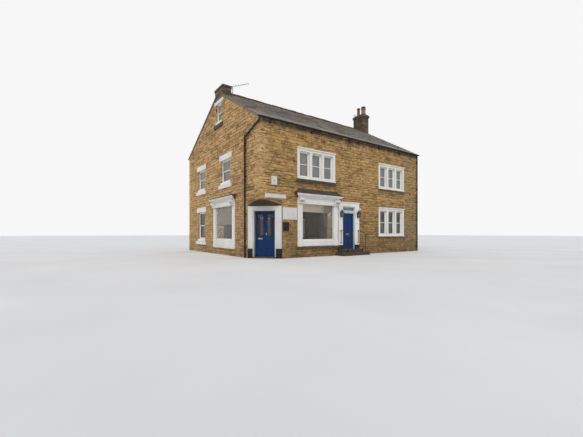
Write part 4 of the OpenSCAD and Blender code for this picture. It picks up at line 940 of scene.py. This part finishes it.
# The front's sill is bare stone, and the gable's is painted.
dress("shopfront_sills", "sandstone", sill_stone, white_finish, choose=lambda at, way: 0 if at.x > -5 else 1,
      soften=0.006)
lead = Finish("sheet_lead", Specular_IOR_Level=0.35)
oxide = lead.noise(5, 5, (1, 1, 0.6), 0.65)
lead_moss = lead.noise(2.5, 5, roughness=0.7).over(0.60, 0.70)
lead_colour = coated((0.036, 0.029, 0.027), (oxide.over(0.35, 0.7), (0.080, 0.062, 0.057)),
                     (lead_moss * 0.5, (0.075, 0.07, 0.04)))
lead_finish = lead.done(lead_colour, 0.55 + oxide * 0.25, oxide, 0.004)
cornice_top, cornice_out = 3.12, 0.28
front_rise, gable_rise = 0.25, 0.12
lead_sheets = merged("shopfront_lead_roofs")
for corner in lead_sheets.verts:
    if corner.co.x < GABLE_X + 0.05:
        corner.co.z = cornice_top + (corner.co.z - cornice_top) * gable_rise / front_rise
finished("lead_roofs", lead_sheets, "sheet_lead", "shopfront_lead_roofs", materials=[lead_finish],
         soften=0.006)
FRONT_SHOP_X, GABLE_SHOP_Y = -2.685, -1.04


def on_front(along, out, z):
    """A place on the front's shopfront: along it from its middle, out of the wall, and up."""
    return Vector((FRONT_SHOP_X + along, FRONT_Y - out, z))


def on_gable(along, out, z):
    """The like place on the gable's shopfront."""
    return Vector((GABLE_X - out, GABLE_SHOP_Y - along, z))


def tube(shape, points, radius, sides):
    """A round rod along points, closed at both ends."""
    points = [Vector(p) for p in points]
    turns = [2 * math.pi * i / sides for i in range(sides)]
    loops = []
    for k, point in enumerate(points):
        way = (points[min(k + 1, len(points) - 1)] - points[max(k - 1, 0)]).normalized()
        side = way.cross(Vector((0, 0, 1)) if abs(way.z) < 0.9 else Vector((1, 0, 0))).normalized()
        other = way.cross(side)
        ring = [point + side * radius * math.cos(turn) + other * radius * math.sin(turn) for turn in turns]
        loops.append([shape.verts.new(place) for place in ring])
    faces = [loops[0][::-1], loops[-1]]
    for below, above in zip(loops, loops[1:]):
        for i in range(sides):
            j = (i + 1) % sides
            faces.append((below[i], below[j], above[j], above[i]))
    for face in faces:
        shape.faces.new(face)


def box_in(shape, low, high, place=lambda x, y, z: (x, y, z), material=0):
    """A box between two corners, put in its place by a function of its own three measures."""
    corners = [shape.verts.new(place(x, y, z)) for x in (low[0], high[0]) for y in (low[1], high[1])
               for z in (low[2], high[2])]
    for face in ((0, 1, 3, 2), (4, 6, 7, 5), (0, 4, 5, 1), (2, 3, 7, 6), (0, 2, 6, 4), (1, 5, 7, 3)):
        shape.faces.new([corners[i] for i in face]).material_index = material


def curl(reach, tightness, step, count):
    """Places on a scroll that winds in towards its eye."""
    radii = [reach * (1 - t / tightness) for t in range(count)]
    return [(radius * math.cos(t * step), radius * math.sin(t * step)) for t, radius in enumerate(radii)]


rolls = bmesh.new()
mouldings = bmesh.new()
linings = bmesh.new()
scrolls = ((curl(0.058, 26, 0.48, 24), 0.150, 2.835, 0.006), (curl(0.026, 22, 0.5, 18), 0.112, 2.662, 0.004))
bead_back, bead_front, bead_low, bead_high, bead = 0.065, 0.077, 2.70, 2.885, 0.018
lining_front, lining_back, lining_head, board_thick = -0.095, -0.50, 2.68, 0.024
shelf, shelf_back, shelf_thick = 0.83, -1.05, 0.03
roll_count, roll_radius, roll_inset = 5, 0.016, 0.0752
cheek, flute_top, flute_drop, flute_out, flute_curve = 0.131, 2.86, 0.20, 0.225, 0.10
for place, wide, lead_rise in ((on_front, 2.67, front_rise), (on_gable, 2.82, gable_rise)):
    reach = wide / 2 - roll_inset
    for k in range(roll_count):
        along = -reach + 2 * reach * k / (roll_count - 1)
        tube(rolls, [place(along, 0.012, cornice_top + lead_rise - 0.012),
                     place(along, cornice_out + 0.004, cornice_top + 0.024)], roll_radius, 10)
    half, inner, console_middle = wide / 2 - 0.33, wide / 2 - 0.24, wide / 2 - 0.14
    for z in (bead_low, bead_high):
        box_in(mouldings, (-half, bead_back, z), (half, bead_front, z + bead), place)
    for end in (-1, 1):
        box_in(mouldings, (end * half - bead / 2, bead_back, bead_low + bead),
               (end * half + bead / 2, bead_front, bead_high), place)
        console = end * console_middle
        for side in (-cheek, cheek):
            for turns, out, up, radius in scrolls:
                tube(mouldings, [place(console + side, out + a, up + b) for a, b in turns], radius, 6)
        for flute in (-0.075, 0, 0.075):
            bow = [(flute_out - flute_curve * t * t, flute_top - flute_drop * t)
                   for t in (0, 0.2, 0.4, 0.6, 0.8, 1.0)]
            tube(mouldings, [place(console + flute, out, z) for out, z in bow], 0.014, 8)
        near, far = sorted((end * inner, end * (inner - board_thick)))
        box_in(linings, (near, lining_back, shelf), (far, lining_front, lining_head), place)
    inner -= board_thick
    box_in(linings, (-inner, lining_back, lining_head - 0.02), (inner, lining_front, lining_head), place)
    box_in(linings, (-inner, shelf_back, shelf - shelf_thick), (inner, lining_front, shelf), place, 1)
finished("lead_rolls", facing_out(rolls), "sheet_lead", materials=[lead_finish], soften=0, smooth=50)
finished("carved_mouldings", facing_out(mouldings), "white_timber", materials=[white_finish, shaded_grimy_finish],
         soften=0.002, smooth=50)
finished("display_linings", facing_out(linings), "white_timber", materials=[white_finish, deal.material],
         soften=0.002)


# Glass. Old drawn panes, puttied into their sashes, that show the room behind and the pale sky in front.
# They are a little uneven and dull with dust, and a painted reflection of the sky makes them paler towards
# the head.
def glazing(name, tint, haze, sheen, reflection_from=(2.3, 2.75), bend=2.0):
    """Window glass. Haze is the least share of it that hides the room. The sheen colour is a painted
    reflection of the sky, and the pair of heights after it is where that starts to rise.
    """
    pane = Finish(name, IOR=bend)
    waves = pane.noise(1.3, 2, (1, 1, 0.6))
    dust = pane.noise(3.5, 5, (1, 1, 0.5), 0.7).over(0.45, 0.75)
    upper = (pane.axes[2] + waves * 0.5).over(reflection_from[0] + 0.25, reflection_from[1] + 0.25)
    edge_on = pane.node("ShaderNodeFresnel", sockets={"IOR": 1.5})
    pane.feed("Alpha", (edge_on * 0.7 + haze + upper * 0.2 + dust * 0.06).clamped())
    # Painted reflection: the colour moves to the sheen with the dust, the waves and the height.
    colour = mix((dust * 0.4 + waves * 0.2 + upper).clamped(), tint, sheen)
    return pane.done(colour, 0.03 + dust * 0.10, waves, 0.004, 0.25)


shop_glass = glazing("shop_glass", (0.16, 0.14, 0.12), 0.06, (0.245, 0.21, 0.15), (2.6, 3.2))
door_glass = glazing("door_glass", (0.018, 0.017, 0.016), 0.34, (0.04, 0.04, 0.04), bend=1.5)
window_glass = glazing("window_glass", (0.115, 0.128, 0.122), 0.13, (0.35, 0.36, 0.35))
paint(shop_glass, "shopfront_glass")
paint(window_glass, "window_glass")


# Blinds. Cream cotton on a sprung roller at the head of each shop window, pulled part of the way down.
# The cloth has a painted glow that stands in for the daylight and the shop lamps behind it, most of all on
# the gable.
cotton = Finish("cream_cotton_painted_glow", Specular_IOR_Level=0.1, Roughness=0.95, Emission_Strength=0.42)
weave = cotton.noise(260, 2)
fading = cotton.noise(1.4, 3, (1, 1, 0.5))
cotton_colour = mix(fading.over(0.35, 0.7), (0.86, 0.81, 0.69), (0.76, 0.70, 0.58))
# Painted glow: warm and dim on the front's blind, the cloth's own colour on the gable's.
cotton.feed("Emission Color", mix(cotton.axes[0].over(-5.0, -5.6), (0.27, 0.215, 0.125), cotton_colour))
glowing_cotton_finish = cotton.done(cotton_colour, height=weave, depth=0.0006)


def woven(name, grid, material, smooth=False):
    """A piece of cloth over a grid of places, row below row."""
    cloth = bmesh.new()
    rows = [[cloth.verts.new(place) for place in row] for row in grid]
    for above, below in zip(rows, rows[1:]):
        for c in range(len(above) - 1):
            cloth.faces.new((above[c], above[c + 1], below[c + 1], below[c])).smooth = smooth
    return keep(name, solid(name, cloth, material), "white_board")


roller_out, cloth_out, head = -0.125, -0.101, 2.60
columns, rows = 24, 10
for name, place, half, drop in (("front_blind", on_front, 1.02, 0.34), ("gable_blind", on_gable, 1.07, 0.95)):
    fittings = bmesh.new()
    tube(fittings, [place(end * (half + 0.01), roller_out, head) for end in (-1, 1)], 0.022, 12)
    tube(fittings, [place(end * half, cloth_out, head - drop - 0.008) for end in (-1, 1)], 0.009, 8)
    finished(name + "_fittings", facing_out(fittings), "white_timber", materials=[white_finish], soften=0,
             smooth=40)
    grid = [[place(-half + 2 * half * c / columns, cloth_out, head - drop * r / rows)
             for c in range(columns + 1)] for r in range(rows + 1)]
    blind = woven(name, grid, glowing_cotton_finish)


# Corner doorway. A white case on black blocks, set back in the splay, with a pair of narrow leaves in
# navy gloss, glazed above a panel, a brass letter plate and knob, and bare cards inside the glass.
blue = Finish("navy_gloss", Specular_IOR_Level=0.22)
blue_wear = blue.noise(2.2, 5, (1, 1, 0.5), 0.65)
blue_brush = blue.noise(45, 3, (1, 1, 0.1), 0.6)
blue_dust = (1 - blue.axes[2].over(0.08, 0.6)) * blue_wear.over(0.35, 0.7)
blue_colour = coated((0.0022, 0.022, 0.092), (blue_wear.over(0.3, 0.75), (0.006, 0.033, 0.115)),
                     (blue_dust * 0.35, (0.050, 0.052, 0.065)))
blue_finish = blue.done(blue_colour, 0.34 + blue_brush * 0.2, blue_brush, 0.001, 0.6)
gloss_finish = worn("black_gloss", (9, 5, (1, 1, 0.6), 0.7), (0.5, 0.75), 0.6, (0.008, 0.007, 0.009),
                    (0.055, 0.048, 0.044), (0.3, 0.35), 0.002, Specular_IOR_Level=0.3)
brass_finish = worn("worn_brass", (22, 4, (1, 1, 1), 0.6), (0.4, 0.7), 1.0, (0.50, 0.42, 0.26),
                    (0.28, 0.22, 0.13), (0.28, 0.3), 0.0008, Metallic=0.9)


def brushed_white(name, sheen, patches, tones, foot, dirt, roughness):
    """White paint with the marks of the brush, duller in patches and dirty at its foot."""
    coat = Finish(name, Specular_IOR_Level=sheen)
    fade = coat.noise(*patches)
    brush = coat.noise(40, 4, (1, 1, 0.12), 0.6)
    colour = coated(tones[0], (fade.over(0.40, 0.75) * 0.5, tones[1]),
                    ((1 - coat.axes[2].over(*foot)) * fade * 0.8, dirt))
    return coat.done(colour, roughness + brush * 0.25, brush, 0.0015, 0.7)


case_finish = brushed_white(
    "weathered_white", 0.4, (2.1, 5, (1, 1, 0.4), 0.65), ((0.615, 0.605, 0.590), (0.44, 0.425, 0.395)),
    (0.2, 0.9), (0.28, 0.25, 0.20), 0.45)
dress("corner_door_surround", "white_timber", case_finish, soften=0.004)
dress("plinth_blocks", "black_paint", gloss_finish, soften=0.006)
dress("corner_threshold", "sandstone", sill_stone, soften=0.010)
for leaf in ("shop_door_left", "shop_door_right"):
    dress(leaf, "blue_timber", blue_finish, body=leaf, soften=0.0025)
    paint(door_glass, leaf + "_glass")
dress("shop_door_handle", "aged_brass", brass_finish, body="shop_door_right", soften=0.002, smooth=40)
dress("shop_door_letter_plate", "aged_brass", brass_finish, body="shop_door_left", soften=0.002)


def on_splay(along, inward, z):
    """A place on the splay: across it from its middle, into the shop, and up."""
    middle_x, middle_y = GABLE_X + SPLAY / 2, FRONT_Y + SPLAY / 2
    turn = math.sqrt(0.5)
    return Vector((middle_x + (along + inward) * turn, middle_y + (inward - along) * turn, z))


def beading(shape, middle, half, reach, low, high, width, depth):
    """Four strips on the outer face of a shop leaf, round its pane or its panel."""
    face = 0.236
    for edge in (middle - half, middle + half - width):
        box_in(shape, (edge, face, low), (edge + width, face + depth, high), on_splay)
    for z in (low, high - width):
        box_in(shape, (middle - reach, face, z), (middle + reach, face + depth, z + width), on_splay)


card = Finish("bare_card", Roughness=0.7)
card_fade = card.noise(9, 3)
card_colour = mix(card_fade, (0.66, 0.64, 0.60), (0.56, 0.54, 0.50))
card_finish = card.done(card_colour, height=card_fade, depth=0.0006)
leaf_inner, leaf_foot = 0.26, 0.068
card_half, card_low, card_high, card_thick = 0.13, 1.98, 2.09, 0.002
for leaf, middle in (("shop_door_left", -0.281), ("shop_door_right", 0.225)):
    cards = bmesh.new()
    box_in(cards, (middle - card_half, leaf_inner, card_low),
           (middle + card_half, leaf_inner + card_thick, card_high), on_splay)
    finished(leaf + "_bare_cards", facing_out(cards), "white_board", materials=[card_finish], body=leaf,
             soften=0)
    beads = bmesh.new()
    beading(beads, middle, 0.165, 0.151, leaf_foot + 0.995, leaf_foot + 2.07, 0.014, 0.010)
    beading(beads, middle, 0.125, 0.125, leaf_foot + 0.22, leaf_foot + 0.705, 0.012, 0.006)
    finished(leaf + "_glazing_beads", facing_out(beads), "blue_timber", materials=[blue_finish], body=leaf,
             soften=0.0015)


# House doorway. White pilasters and a capped head round a panelled navy door, with a transom light,
# brass furniture, a bell push, black iron rails and two dark steps that feet have worn pale on top.
dress("house_door_surround", "white_timber", white_finish, soften=0.004)
# The door frame is a darker bluish white: painted shade under the sky's light.
shaded_cool_finish = brushed_white(
    "shaded_cool_white_gloss", 0.45, (3.0, 4, (1, 1, 0.4), 0.6), ((0.46, 0.54, 0.57), (0.36, 0.41, 0.42)),
    (0.5, 1.2), (0.27, 0.25, 0.22), 0.38)
dress("house_door_frame", "white_timber", shaded_cool_finish)
dress("house_door", "blue_timber", blue_finish, body="house_door", soften=0.0025)
dress("house_door_knob", "aged_brass", brass_finish, body="house_door", soften=0.0015, smooth=40)
transom_glass = glazing("transom_glass", (0.09, 0.15, 0.14), 0.55, (0.15, 0.22, 0.21))
paint(transom_glass, "house_door_glass")
dress("handrails", "black_metal", iron_finish, soften=0, smooth=40)
step_stone = sandstone(
    "step_stone", [(0.050, 0.043, 0.038), (0.075, 0.063, 0.054), (0.10, 0.085, 0.07)], 5.0, 0.2,
    pale=(0.065, 0.055, 0.048), grime=0.0, bed_shade=0.3)
tread_stone = sandstone(
    "tread_stone", [(0.11, 0.095, 0.08), (0.15, 0.13, 0.105), (0.19, 0.16, 0.13)], 5.0, 0.2,
    pale=(0.14, 0.12, 0.10), grime=0.0, bed_shade=0.3)
for node in ("lower_step", "upper_step"):
    dress(node, "dark_stone", step_stone, tread_stone, choose=lambda at, way: 1 if way.z > 0.9 else 0,
          soften=0.012)
push = bmesh.new()
push_middle, pilaster_face, push_height = 0.165, -5.050, 1.72
lathe(push, (0, 0, 0), [(0, -0.004), (0.024, -0.004), (0.024, 0.006), (0.016, 0.012), (0.011, 0.012),
                        (0.010, 0.016), (0, 0.017)], 24)
for corner in push.verts:
    across, up, out = corner.co
    corner.co = Vector((push_middle + across, pilaster_face - out, push_height + up))
# A small white box with a dark slot, higher up beside the pilaster.
box_in(push, (0.255, -5.110, 2.475), (0.390, -5.002, 2.570), material=1)
box_in(push, (0.280, -5.116, 2.488), (0.365, -5.108, 2.520), material=2)
finished("bell_push", facing_out(push), "aged_brass", materials=[gloss_finish, white_finish, gloss_finish],
         soften=0, smooth=40)


# Lanterns. A pair of black tin cages, each held by a back plate and two curved arms on its pilaster.
# Four dusty panes lean outwards round a pale lamp, under a pointed cap with a ball on it.
lamp_glass = Finish("lantern_glass", Specular_IOR_Level=0.6, Alpha=0.6)
lamp_dust = lamp_glass.noise(30, 4)
dusty = mix(lamp_dust, (0.075, 0.075, 0.070), (0.14, 0.14, 0.13))
lamp_glass_finish = lamp_glass.done(dusty, 0.1 + lamp_dust * 0.2, lamp_dust, 0.001)
bulb = Finish("lamp_bulb", Roughness=0.3)
bulb_tone = bulb.noise(20, 2)
bulb_finish = bulb.done(mix(bulb_tone, (0.80, 0.79, 0.74), (0.70, 0.69, 0.65)))


def lantern(shape, x):
    """One lantern: back plate, arms, corner bars, tail and tray, cap, finial, lamp, then the panes."""
    middle_y, foot_z = -5.16, 2.02

    def at(across, inward, up):
        return Vector((x + across, middle_y + inward, foot_z + up))

    foot_half, head_half, glass_low, glass_high = 0.050, 0.076, 0.085, 0.300
    box_in(shape, (-0.030, 0.098, 0.02), (0.030, 0.112, 0.26), at)
    for arm in (((0.100, 0.20), (0.094, 0.30), (0.078, 0.40), (0.045, 0.445), (0.012, 0.440), (0, 0.410)),
                ((0.100, 0.05), (0.060, 0.035), (0.02, 0.045), (0, 0.070))):
        tube(shape, [at(0, inward, up) for inward, up in arm], 0.008, 8)
    signs = ((-1, -1), (1, -1), (1, 1), (-1, 1))
    for a, b in signs:
        tube(shape, [at(a * foot_half, b * foot_half, glass_low - 0.01),
                     at(a * head_half, b * head_half, glass_high + 0.005)], 0.0085, 6)
    tray = ((0, 0.0), (0.010, 0.006), (0.013, 0.018), (0.007, 0.032), (0.022, 0.050), (0.056, 0.066),
            (0.072, 0.070), (0.072, 0.088), (0, 0.088))
    cap = ((0, 0.296), (0.122, 0.296), (0.126, 0.306), (0.112, 0.322), (0.072, 0.348), (0.048, 0.372),
           (0.040, 0.376), (0.036, 0.392), (0.012, 0.402), (0.0, 0.404))
    finial = ((0, 0.400), (0.009, 0.404), (0.015, 0.418), (0.009, 0.432), (0.004, 0.440), (0.005, 0.452),
              (0.0, 0.470))
    lamp = ((0, 0.084), (0.014, 0.084), (0.014, 0.12), (0.022, 0.13), (0.028, 0.17), (0.018, 0.205),
            (0, 0.215))
    for rings, steps, material in ((tray, 4, 0), (cap, 4, 0), (finial, 12, 0), (lamp, 16, 2)):
        lathe(shape, at(0, 0, 0), rings, steps, material)
    low_in, high_in = foot_half - 0.004, head_half - 0.006
    for (a, b), (c, d) in zip(signs, signs[1:] + signs[:1]):
        corners = [at(a * low_in, b * low_in, glass_low), at(c * low_in, d * low_in, glass_low),
                   at(c * high_in, d * high_in, glass_high), at(a * high_in, b * high_in, glass_high)]
        shape.faces.new([shape.verts.new(corner) for corner in corners]).material_index = 1


cages = bmesh.new()
for x in (-1.144, 0.159):
    lantern(cages, x)
finished("lantern_cages", cages, "black_metal", "lanterns",
         materials=[iron_finish, lamp_glass_finish, bulb_finish], soften=0)


# Windows. Painted stone surrounds with two mullions on the front, painted lintels and sills round
# box sashes on the gable and rear, and brown stone sills left bare under the surrounds.
masonry_paint = Finish("white_masonry_paint", Specular_IOR_Level=0.3)
paint_dirt = masonry_paint.noise(2.4, 5, (1, 1, 0.25), 0.65)
paint_grain = masonry_paint.noise(60, 4, roughness=0.6)
flakes = masonry_paint.noise(9, 5, roughness=0.7).over(0.66, 0.69)
paint_colour = coated((0.78, 0.755, 0.715), (paint_dirt.over(0.38, 0.72) * 0.5, (0.54, 0.49, 0.42)),
                      (flakes * 0.6, (0.28, 0.21, 0.13)))
paint_height = paint_grain - flakes * 0.8
paint_finish = masonry_paint.done(paint_colour, 0.85 - paint_grain * 0.1, paint_height, 0.003, 0.8)
dress("window_surrounds", "painted_stone", paint_finish, soften=0.005)
dress("window_lintels", "painted_stone", paint_finish, soften=0.006)
# The sills of the front and the attic are bare stone, and the others are painted.
dress("window_sills", "sandstone", sill_stone, paint_finish,
      choose=lambda at, way: 0 if at.y < -4.7 and at.x > -5 or at.z > 7 else 1, soften=0.006)
dress("casement_frames", "white_timber", white_finish)
dress("sash_frames", "white_timber", white_finish)


# Curtains. White net, gathered on a wire inside each window. Upstairs it hangs the full height of the
# glass, and on the ground floor of the front and gable it covers the lower half.
net = Finish("white_net", Specular_IOR_Level=0.1, Roughness=0.95, Alpha=0.82)
threads = net.noise(160, 2, (1, 1, 1))
net_colour = mix(net.noise(3, 3), (0.74, 0.75, 0.71), (0.56, 0.58, 0.54))
net_finish = net.done(net_colour, height=threads, depth=0.0008)


def curtain(name, width, low, high, place):
    """A net of folds with the same cloth all the way down, hung on the frame that the node makes."""
    column, fold, fold_depth, rows = 0.0075, 0.055, 0.011, 8
    columns, folds = int(width / column), round(width / fold)
    grid = []
    for r in range(rows + 1):
        t = r / rows
        line = []
        for c in range(columns + 1):
            s = c / columns
            swing = fold_depth * math.sin(2 * math.pi * folds * s + 0.5 * math.sin(5 * s + t))
            line.append(place((s - 0.5) * width, swing, high + (low - high) * t))
        grid.append(line)
    cut = sum((b - a).length for a, b in zip(grid[-1], grid[-1][1:]))
    piece = woven(name, grid, net_finish, smooth=True)
    high - low


net_depth = 0.225
light_apart, light_net, sash_net, attic_net = 0.79, 0.52, 1.02, 0.62
front_nets = ((LEFT_LIGHTS, 4.05, 5.17), (RIGHT_LIGHTS, 4.05, 5.17), (RIGHT_LIGHTS, 1.18, 1.84))
for k, (middle, low, high) in enumerate(front_nets):
    for i in (-1, 0, 1):
        curtain(f"front_net_{k}_{i + 1}", light_net, low, high,
                lambda a, b, z: Vector((middle + i * light_apart + a, FRONT_Y + net_depth + b, z)))
gable_nets = ((NEAR_SASH, 4.08, 5.10, sash_net), (FAR_SASH, 4.08, 5.10, sash_net),
              (FAR_SASH, 0.92, 1.70, sash_net), (ATTIC_SASH, 7.64, 8.50, attic_net))
for k, (middle, low, high, width) in enumerate(gable_nets):
    curtain(f"gable_net_{k}", width, low, high,
            lambda a, b, z: Vector((GABLE_X + net_depth - b, -middle - a, z)))
rear_nets = [(middle, low, high) for low, high in ((4.08, 5.10), (0.92, 2.38)) for middle in rear_middles]
for k, (middle, low, high) in enumerate(rear_nets):
    curtain(f"rear_net_{k}", sash_net, low, high,
            lambda a, b, z: Vector((middle - a, REAR_Y - net_depth - b, z)))


# Boards and boxes. Painted board and pressed steel, screwed to the stone: a bare white notice board over
# a black letter box, between corner and shopfront, and a bare plate and a white bell box over the corner.
board_finish = worn("white_board", (3, 5, (1, 1, 0.5), 0.6), (0.4, 0.75), 0.5, (0.62, 0.605, 0.60),
                    (0.46, 0.44, 0.41), (0.4, 0.2), 0.001, Specular_IOR_Level=0.4)
dress("notice_boards", "white_board", board_finish, soften=0.003)
dress("wall_boxes", "black_metal", gloss_finish, board_finish, choose=lambda at, way: 1 if at.z > 3 else 0,
      soften=0.012)
trims = bmesh.new()
board_face, plate_face, edge_thick = FRONT_Y - 0.030, FRONT_Y - 0.012, 0.006
for left, right, low, high, face in (
        (1.21, 2.04, 1.84, 1.858, board_face), (1.21, 2.04, 2.402, 2.42, board_face),
        (1.21, 1.228, 1.858, 2.402, board_face), (2.022, 2.04, 1.858, 2.402, board_face),
        (0.25, 1.40, 2.82, 2.832, plate_face), (0.25, 1.40, 2.998, 3.01, plate_face)):
    box_in(trims, (GABLE_X + left, face - edge_thick, low), (GABLE_X + right, face, high))
# The lip and the slot of the letter box, and the small lamp of the bell box.
box_in(trims, (-4.865, -5.099, 1.60), (-4.575, -5.088, 1.616), material=1)
box_in(trims, (-4.835, -5.096, 1.635), (-4.605, -5.088, 1.665), material=1)
box_in(trims, (-5.42, -5.086, 3.60), (-5.36, -5.079, 3.625), material=1)
finished("board_edges", facing_out(trims), "white_board", materials=[board_finish, gloss_finish],
         soften=0.002)


# Aerials. A television aerial of dull aluminium strapped to each stack by two stays. Each is a short
# mast, a boom that points at the transmitter, and a row of thin rods across the boom.
rod_tree, rod_port = new_tree("aerial_rods", Turn=(0.0, 0.0, 0.0), Metal=None)
rod = Wire.node(rod_tree, "GeometryNodeMeshCylinder", sockets={"Vertices": 6, "Radius": 0.005, "Depth": 0.40})
rods = Wire.node(rod_tree, "GeometryNodeInstanceOnPoints", sockets={
    "Points": rod_port["Geometry"], "Instance": rod, "Rotation": rod_port["Turn"]})
end_tree(rod_tree, rods, rod_port["Metal"])
alloy = Finish("dull_alloy", Metallic=0.6)
alloy_wear = alloy.noise(12, 4)
alloy_colour = mix(alloy_wear, (0.16, 0.16, 0.165), (0.26, 0.26, 0.27))
alloy_finish = alloy.done(alloy_colour, 0.4 + alloy_wear * 0.2, alloy_wear, 0.0005)
for name, foot, top, stay, boom, rod_count in (
        ("gable_aerial", (-5.52, -0.90, 9.02), 9.50, (-5.60, -0.84), (0.70, -0.62, 0.12), 7),
        ("party_aerial", (5.33, -0.30, 9.55), 10.25, (5.45, -0.30), (-0.55, -0.25, 0.06), 5)):
    mast_x, mast_y, mast_foot = foot
    rig = bmesh.new()
    tube(rig, [foot, (mast_x, mast_y, top)], 0.018, 8)
    for z in (mast_foot + 0.10, mast_foot + 0.30):
        tube(rig, [(*stay, z), (mast_x, mast_y, z)], 0.012, 6)
    start = Vector((mast_x, mast_y, top - 0.03))
    along = Vector(boom)
    tube(rig, [start - along * 0.12, start + along], 0.012, 6)
    points = bpy.data.meshes.new(name + "_points")
    points.from_pydata([start + along * (k + 0.6) / rod_count for k in range(rod_count)], [], [])
    across_boom = (math.pi / 2, 0.0, math.atan2(along.y, along.x))
    rig.from_mesh(grown(points, rod_tree, Turn=across_boom, Metal=alloy_finish))
    finished(name, facing_out(rig), "black_metal", materials=[alloy_finish], soften=0, smooth=40)
